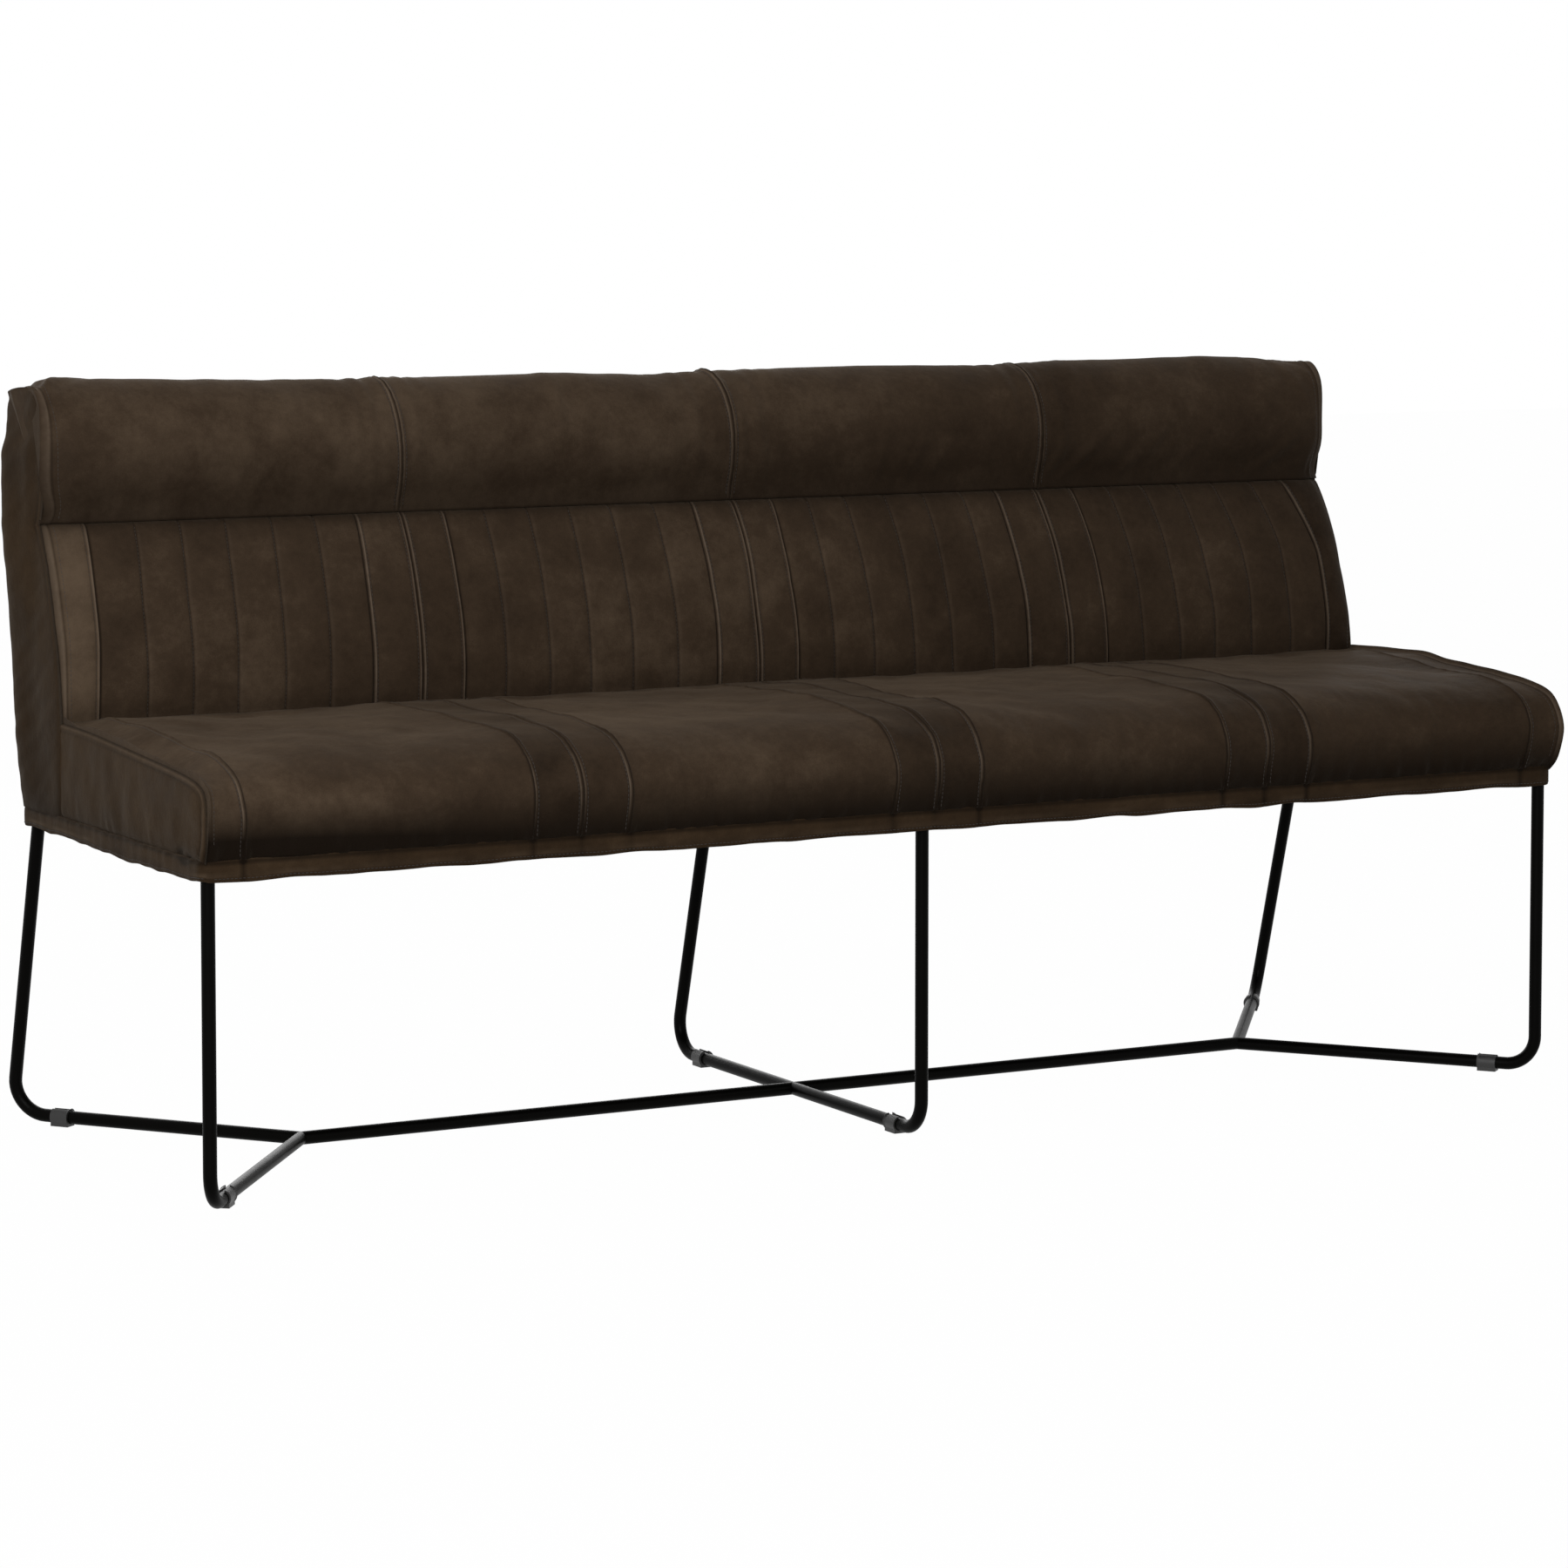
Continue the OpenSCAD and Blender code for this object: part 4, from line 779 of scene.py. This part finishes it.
# in front it is pinched where the seat's seams run into it
joints = sum(bump(path[:, 0] - place, 2.6) for place, kind, side in seat_seams) * (path_out[:, 1] < -0.9)
for k, (a, b) in enumerate(section):
    roll = a * (1 + 0.16 * fat) + 0.35 * pinch * np.sign(a) * (0.4 + 0.6 * abs(b) / roll_h)
    roll = np.clip(roll - 0.9 * joints * np.sign(a), -roll_t, 3.6)
    hem[:, k, 0] = path[:, 0] + path_out[:, 0] * roll
    hem[:, k, 1] = path[:, 1] + path_out[:, 1] * roll
    hem[:, k, 2] = zc + b * (1 - 0.04 * fat) + np.where(b < 0, sag - 0.6, 0.5) + 0.08 * pinch * (b < 0)
height = hem[:, :, 2] - hem_foot
at_pleats = ((path_out[:, 0] < -0.9) * bump(path[:, 1] + 262, 15))[:, None]
# painted shade in the furrows above and below the roll, where the seat's seams pinch it and in the pleats;
# below, painted shade on the roll's lower part and painted sheen with wear along its crown
groove = 0.9 * bump(height - 22, 3.0) + joints[:, None] * 0.9 + 0.5 * bump(height - 5.2, 1.0)
groove += 1.6 * at_pleats * bump(height - 19, 4)
rolled = loft("rolled_hem", hem, "leather_edge", round_about=True,
              groove=groove, tone=np.full(height.shape, -0.5),
              low=np.clip(0.5 - height / 40, 0, 1), rub=bump(height - 8.5, 2.0))
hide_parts("seat_hem_front", "seat_hem_rear", "seat_hem_left", "seat_hem_right")

# ---------------- stitches
PITCH = 5.0                  # from one stitch to the next
stitch_at, stitch_along, stitch_out = [], [], []


def sew(line, outs, first, last):
    """Stitches along a line, from first after its start to last before its end."""
    s = travel(line)
    t = np.arange(first, s[-1] - last, PITCH)
    at = picked(t, s, line)
    stitch_at.append(at)
    stitch_along.append(picked(t + 1, s, line) - at)
    stitch_out.append(picked(t, s, outs))


def sew_down(grid, xs, places, first, last):
    """Stitches down the face of a grid, at places along the sofa."""
    out = normals(grid)
    for place in places:
        i = int(np.clip(np.searchsorted(xs, place), 1, len(xs) - 1))
        f = (place - xs[i - 1]) / (xs[i] - xs[i - 1])
        sew(grid[i - 1] * (1 - f) + grid[i] * f, out[i - 1] * (1 - f) + out[i] * f, first, last)


def thread_lines(seams):
    """Where the thread shows beside or in each seam."""
    return [p + w for p, kind, side in seams
            for w in ((-5.7, 5.7) if kind == PAIR else (side * 5.3,) if kind == LAP else (0,))]


def at_ends(inset):
    return [-half + inset, half - inset]


sew_down(seat_grid, seat_xs, thread_lines(seat_seams), 8, 8)
sew_down(back_grid, back_xs, thread_lines(back_seams), 20, 6)
sew_down(bolster_grid, bolster_xs, thread_lines(bolster_seams), 10, 10)
sew_down(seat_grid, seat_xs, at_ends(9), 24, 8)
sew_down(back_grid, back_xs, at_ends(9), 20, 6)
sew_down(bolster_grid, bolster_xs, at_ends(10.5), 8, 8)
low_at = int(np.argmin(np.abs(section[:, 1] + 6.4) + (section[:, 0] < 0) * 50))
sew(hem[:, low_at], np.concatenate([path_out, np.zeros((len(path), 1))], 1), 4, 4)

at, along, out = (np.concatenate(v) for v in (stitch_at, stitch_along, stitch_out))
along /= np.linalg.norm(along, axis=1, keepdims=True)
out /= np.linalg.norm(out, axis=1, keepdims=True)
wide = np.cross(along, out)
# one stitch: rings of points round the thread, thinner at both ends
SIDES = 5
rings = [(-1.8, 0.15), (-1.3, 0.42), (1.3, 0.42), (1.8, 0.15)]
turn = [2 * math.pi * k / SIDES for k in range(SIDES)]
shape = np.array([(end, r * math.cos(a), r * math.sin(a)) for end, r in rings for a in turn])
pts = (at[:, None] + shape[None, :, 0, None] * along[:, None] + shape[None, :, 1, None] * wide[:, None] +
       (shape[None, :, 2, None] + 0.12) * out[:, None])
skin = np.array([[a + k, a + (k + 1) % SIDES, a + SIDES + (k + 1) % SIDES, a + SIDES + k]
                 for a in range(0, len(shape) - SIDES, SIDES) for k in range(SIDES)])
ends = np.array([range(SIDES - 1, -1, -1), range(len(shape) - SIDES, len(shape))])
first = len(shape) * np.arange(len(at))[:, None, None]
faces = (skin[None] + first).reshape(-1, 4).tolist() + (ends[None] + first).reshape(-1, SIDES).tolist()
stitches = piece("sewing_stitches", pts.reshape(-1, 3), faces, "leather_edge")

# ---------------- finishes
# places of the colour sockets on a Mix node
MIX_FACTOR, MIX_A, MIX_B, MIX_OUT = 0, 6, 7, 2


class Wire:
    """A socket that can be used in sums and products."""

    def __init__(self, nodes, socket):
        self.nodes, self.socket = nodes, socket

    def join(self, how, a, b):
        many = any(isinstance(v, tuple) or isinstance(v, Wire) and v.socket.type != "VALUE" for v in (a, b))
        if many:
            a, b = ((v,) * 3 if isinstance(v, (int, float)) else v for v in (a, b))
        kind = "ShaderNodeVectorMath" if many else "ShaderNodeMath"
        return self.nodes.node(kind, {"operation": how}, {0: a, 1: b})

    def __add__(self, other):
        return self.join("ADD", self, other)

    def __radd__(self, other):
        return self.join("ADD", other, self)

    def __sub__(self, other):
        return self.join("SUBTRACT", self, other)

    def __rsub__(self, other):
        return self.join("SUBTRACT", other, self)

    def __mul__(self, other):
        return self.join("MULTIPLY", self, other)

    def __rmul__(self, other):
        return self.join("MULTIPLY", other, self)

    def held(self):
        """The same value kept between 0 and 1."""
        return self.nodes.node("ShaderNodeClamp", {}, {"Value": self})


class Nodes:
    """The nodes of one material, or of the air round the sofa."""

    def __init__(self, tree):
        self.tree = tree

    def feed(self, socket, value):
        if isinstance(value, Wire):
            self.tree.links.new(value.socket, socket)
        else:
            socket.default_value = value

    def node(self, kind, settings, inputs, output=0):
        """One node: its settings first, then its sockets. Gives one of its outputs."""
        made = self.tree.nodes.new(kind)
        for key, value in settings.items():
            if key == "stops":
                ramp = made.color_ramp
                while len(ramp.elements) < len(value):
                    ramp.elements.new(0.5)
                for stop, (at, colour) in zip(ramp.elements, value):
                    stop.position, stop.color = at, (*colour, 1)
            else:
                setattr(made, key, value)
        for key, value in inputs.items():
            self.feed(made.inputs[key], value)
        return Wire(self, made.outputs[output])

    def seeing_rays(self):
        """1 for the rays that look at the background: from the camera, a gloss or a clear piece."""
        seen, mirrored, through = (self.node("ShaderNodeLightPath", {}, {}, kind)
                                   for kind in ("Is Camera Ray", "Is Glossy Ray", "Is Transmission Ray"))
        return (seen + mirrored + through).held()


class Finish(Nodes):
    """One material, drawn in nodes. Places are in millimetres."""

    def __init__(self, name, **settings):
        self.material = bpy.data.materials.new(name)
        self.material.use_nodes = True
        super().__init__(self.material.node_tree)
        self.skin = self.tree.nodes["Principled BSDF"]
        for key, value in settings.items():
            self.skin.inputs[key.replace("_", " ")].default_value = value
        self.place = self.node("ShaderNodeTexCoord", {}, {}, "Object") * 1000.0

    def noise(self, size, detail=2.0, rough=0.5, stretch=(1, 1, 1), shift=0.0):
        """Noise whose spots are about size millimetres across."""
        at = self.place * tuple(1 / (size * s) for s in stretch) + (shift, shift, shift)
        return self.node("ShaderNodeTexNoise", {},
                         {"Vector": at, "Scale": 1.0, "Detail": detail, "Roughness": rough})

    def cells(self, size):
        """Distance from the middle of cells about size millimetres across."""
        return self.node("ShaderNodeTexVoronoi", {},
                         {"Vector": self.place * (1 / size), "Scale": 1.0}, "Distance")

    def wave(self, direction, vector, **sockets):
        sockets = {key.replace("_", " "): value for key, value in sockets.items()}
        return self.node("ShaderNodeTexWave", {"bands_direction": direction},
                         {"Vector": vector, "Scale": 1.0, **sockets})

    def layer(self, name):
        """A value kept on the points of the piece."""
        return self.node("ShaderNodeAttribute", {"attribute_name": name}, {}, "Fac")

    def ramp(self, value, stops):
        return self.node("ShaderNodeValToRGB", {"stops": stops}, {"Fac": value}, "Color")

    def blend(self, amount, a, b):
        """A colour between a and b."""
        a, b = (v if isinstance(v, Wire) else (*v, 1) for v in (a, b))
        return self.node("ShaderNodeMix", {"data_type": "RGBA"},
                         {MIX_FACTOR: amount, MIX_A: a, MIX_B: b}, MIX_OUT)

    def raised(self, height, depth, before=None):
        """A surface raised by height times depth millimetres."""
        inputs = {"Height": height, "Distance": depth * 0.001, "Strength": 1.0}
        if before is not None:
            inputs["Normal"] = before
        return self.node("ShaderNodeBump", {}, inputs, "Normal")

    def wear_it(self, *pieces, **channels):
        """Feeds the surface and puts the material on some pieces."""
        for key, value in channels.items():
            self.feed(self.skin.inputs[key.replace("_", " ")], value)
        for thing in pieces:
            thing.data.materials.clear()
            thing.data.materials.append(self.material)
            thing.data.polygons.foreach_set("material_index", [0] * len(thing.data.polygons))


def suede(name, shade):
    """Waxed nubuck: mottled, with a short nap that is worn lighter beside seams with a painted sheen there,
    painted shade in the seam furrows, and painted shade low down and in closed corners.
    """
    f = Finish(name, Sheen_Weight=0.08, Sheen_Roughness=0.5, Sheen_Tint=(0.6, 0.48, 0.36, 1),
               Specular_IOR_Level=0.03)
    cloud = f.noise(190, 3.0, 0.55)
    patch = f.noise(46, 4.0, 0.6, shift=3.7)
    nap = f.noise(9, 4.0, 0.6, shift=8.1)
    fleck = f.noise(1.5, 2.0, 0.7)
    mix = (cloud - 0.5) * 0.8 + (patch - 0.5) * 0.7 + (nap - 0.5) * 0.35 + (fleck - 0.5) * 0.3
    mix = (mix * 0.85 + 0.5 + f.layer("tone") * 0.16).held()
    dark, mid, light, worn = shade
    body = f.ramp(mix, [(0.08, dark), (0.5, mid), (0.92, light)])
    # lighter on the raised ridges: worn nap together with painted sheen
    body = f.blend((f.layer("rub") * (0.3 + nap * 0.5)).held(), body, worn)
    # painted shade in the seam furrows, the pleats and the hollows
    groove = (f.layer("groove") * 0.85).held()
    body = f.blend(groove, body, tuple(0.35 * v for v in dark))
    # painted shade low down, under the front and where panels meet
    low = (f.layer("low") * 0.66).held()
    body = f.blend(low, body, tuple(0.4 * v for v in dark))
    rough = (0.66 + (patch - 0.5) * 0.3 + (fleck - 0.5) * 0.16).held()
    pebbles = f.cells(1.1)
    grain = f.noise(2.6, 4.0, 0.65, shift=5.0)
    soft = f.noise(24, 2.0, 0.5, shift=9.0)
    bump_low = f.raised(soft, 1.1)
    bump_mid = f.raised(grain, 0.32, bump_low)
    bump_fine = f.raised(pebbles, 0.16, bump_mid)
    return f, dict(Base_Color=body, Roughness=rough, Normal=bump_fine)


def srgb(*v):
    return tuple((c / 255 / 12.92) if c / 255 <= 0.04045 else ((c / 255 + 0.055) / 1.055) ** 2.4 for c in v)


main_shade = (srgb(35, 26, 18), srgb(58, 46, 35), srgb(84, 70, 56), srgb(110, 96, 82))
# a darker, warmer copy of the nubuck for the ends, the rear and the hem: painted shade on the faces turned away
# from the key lamp
edge_shade = (srgb(34, 24, 15), srgb(55, 42, 29), srgb(76, 61, 45), srgb(94, 79, 64))
f, channels = suede("waxed_nubuck", main_shade)
f.wear_it(seat, back, bolster, **channels)
f, channels = suede("waxed_nubuck_shaded_edge", edge_shade)
f.wear_it(*end_panels, rear, rolled, **channels)

f = Finish("sewing_thread", Roughness=0.7)
twist = f.noise(0.7, 1.0, 0.5)
f.wear_it(stitches, Base_Color=f.ramp(twist, [(0.3, srgb(26, 20, 15)), (0.7, srgb(44, 36, 29))]),
          Normal=f.raised(twist, 0.2))

nodes = frame["nodes"]


def solids(*starts):
    """The part's own solids whose names start in one of these ways."""
    return [nodes[n] for n in nodes if n.startswith(starts)]


f = Finish("black_powder_coat", Specular_IOR_Level=0.03)
orange = f.noise(1.3, 2.0, 0.5)
dust = f.noise(60, 3.0, 0.6)
scuff = (f.noise(5, 4.0, 0.7, (1, 1, 5)) - 0.62) * 5.0
coat = f.blend(dust, srgb(3, 3, 2), srgb(8, 7, 6))
f.wear_it(*solids("leg_", "floor_rail", "top_bar"),
          Base_Color=f.blend(scuff.held() * 0.2, coat, srgb(30, 29, 27)),
          Roughness=(0.36 + (dust - 0.5) * 0.16 + (orange - 0.5) * 0.1).held(), Normal=f.raised(orange, 0.05))

f = Finish("glide_nylon")
speck = f.noise(0.9, 2.0, 0.6)
worn = f.noise(14, 3.0, 0.6)
f.wear_it(*solids("glide"), Base_Color=f.blend(worn, srgb(20, 20, 20), srgb(38, 37, 36)),
          Roughness=(0.5 + (worn - 0.5) * 0.2).held(), Normal=f.raised(speck, 0.06))

f = Finish("zinc_plate", Metallic=1.0)
spangle = f.cells(3.2)
stain = f.noise(9, 3.0, 0.6)
f.wear_it(nodes["frame_screws"], nodes["post_screws"],
          Base_Color=f.blend(spangle, srgb(168, 168, 160), srgb(205, 205, 198)),
          Roughness=(0.3 + (stain - 0.5) * 0.25).held(), Normal=f.raised(stain, 0.05))

f = Finish("elastic_webbing", Roughness=0.85)
weave = f.wave("X", f.place * 0.16) * f.wave("Y", f.place * 0.16)
f.wear_it(nodes["seat_webbing"], nodes["back_webbing"],
          Base_Color=f.blend(weave, srgb(34, 34, 36), srgb(70, 68, 66)), Normal=f.raised(weave, 0.4))

f = Finish("lining_felt", Roughness=0.95)
fibre = f.noise(0.8, 4.0, 0.7)
blot = f.noise(30, 3.0, 0.6)
dots = f.cells(2.4)
f.wear_it(nodes["dust_cover"], Base_Color=f.blend(fibre * 0.6 + blot * 0.4, srgb(20, 20, 21), srgb(40, 40, 41)),
          Normal=f.raised(dots + fibre * 0.5, 0.12))

f = Finish("raw_beech")
stretch = f.wave("Z", f.place * (0.002, 0.02, 0.05), Distortion=9.0, Detail=4.0, Detail_Scale=1.6)
pores = f.noise(1.2, 2.0, 0.6, (14, 1, 1))
grain = f.blend(stretch, srgb(176, 140, 98), srgb(212, 180, 136))
wood = solids("seat_front_rail", "seat_rear_rail", "seat_end_rail", "seat_cross_rail", "corner_blocks",
              "back_post", "back_bottom", "back_seam", "back_top")
f.wear_it(*wood, Base_Color=f.blend((pores * 0.35).held(), grain, srgb(120, 88, 56)),
          Roughness=(0.6 + (pores - 0.5) * 0.2).held(), Normal=f.raised(pores, 0.15))

# ---------------- floor, light and camera
scene = bpy.context.scene
FLOOR_REACH = 14             # metres from the middle to each side
AIR_LIGHT = 0.3              # strength of the air's light on the sofa, where 1 is white

sheet = bpy.data.meshes.new("pale_floor")
sheet.from_pydata([(a * FLOOR_REACH, b * FLOOR_REACH, 0) for a, b in ((-1, -1), (1, -1), (1, 1), (-1, 1))],
                  [], [(0, 1, 2, 3)])
floor = bpy.data.objects.new("pale_floor", sheet)
scene.collection.objects.link(floor)
f = Finish("pale_floor_paint", Roughness=0.9, Specular_IOR_Level=0.1)
wash = f.noise(400, 2.0, 0.5)
f.wear_it(floor, Base_Color=f.blend(wash, (0.36, 0.36, 0.36), (0.40, 0.40, 0.40)))
white = f.node("ShaderNodeEmission", {}, {"Color": (1, 1, 1, 1), "Strength": 1.0}, "Emission")
both = f.node("ShaderNodeMixShader", {},
              {0: f.seeing_rays() * 0.99, 1: Wire(f, f.skin.outputs[0]), 2: white}, "Shader")
f.feed(f.tree.nodes["Material Output"].inputs["Surface"], both)

scene.world = bpy.data.worlds.new("studio_air")
scene.world.use_nodes = True
air = Nodes(scene.world.node_tree)
glow = air.tree.nodes["Background"]
glow.inputs["Color"].default_value = (1, 1, 1, 1)
air.feed(glow.inputs["Strength"], AIR_LIGHT + air.seeing_rays() * (1 - AIR_LIGHT))


def soft_box(name, at, aim, size, watts):
    """A soft lamp at one place, turned towards another."""
    lamp = bpy.data.lights.new(name, "AREA")
    lamp.shape, lamp.size, lamp.size_y, lamp.energy = "RECTANGLE", size[0], size[1], watts
    made = bpy.data.objects.new(name, lamp)
    made.location = at
    made.rotation_euler = (Vector(aim) - Vector(at)).to_track_quat("-Z", "Y").to_euler()
    scene.collection.objects.link(made)


soft_box("overhead", (-1.1, -0.6, 3.2), (-0.4, 0, 0.4), (2.6, 2.0), 8)
soft_box("front_left", (-2.3, -3.0, 1.7), (-0.35, 0, 0.5), (1.6, 1.5), 88)
soft_box("behind", (0.7, 3.3, 1.0), (0, 0.3, 0.6), (2.4, 1.2), 34)

# the camera solved from the photograph, in its own pixels
PHOTO, SENSOR = 1800, 36
lens = bpy.data.cameras.new("photo_view")
camera = bpy.data.objects.new("photo_view", lens)
scene.collection.objects.link(camera)
yaw, pitch, focal, centre = math.radians(28.556), math.radians(4.175), 5659.07, (868.47, 608.71)
camera.location = (-2.97043, -5.34216, 1.16167)
forward = Vector((math.sin(yaw) * math.cos(pitch), math.cos(yaw) * math.cos(pitch), -math.sin(pitch)))
camera.rotation_euler = forward.to_track_quat("-Z", "Y").to_euler()
lens.sensor_width, lens.lens = SENSOR, SENSOR * focal / PHOTO
lens.shift_x, lens.shift_y = (PHOTO / 2 - centre[0]) / PHOTO, (centre[1] - PHOTO / 2) / PHOTO
lens.clip_end = 60
scene.camera = camera
scene.view_settings.view_transform = "Standard"
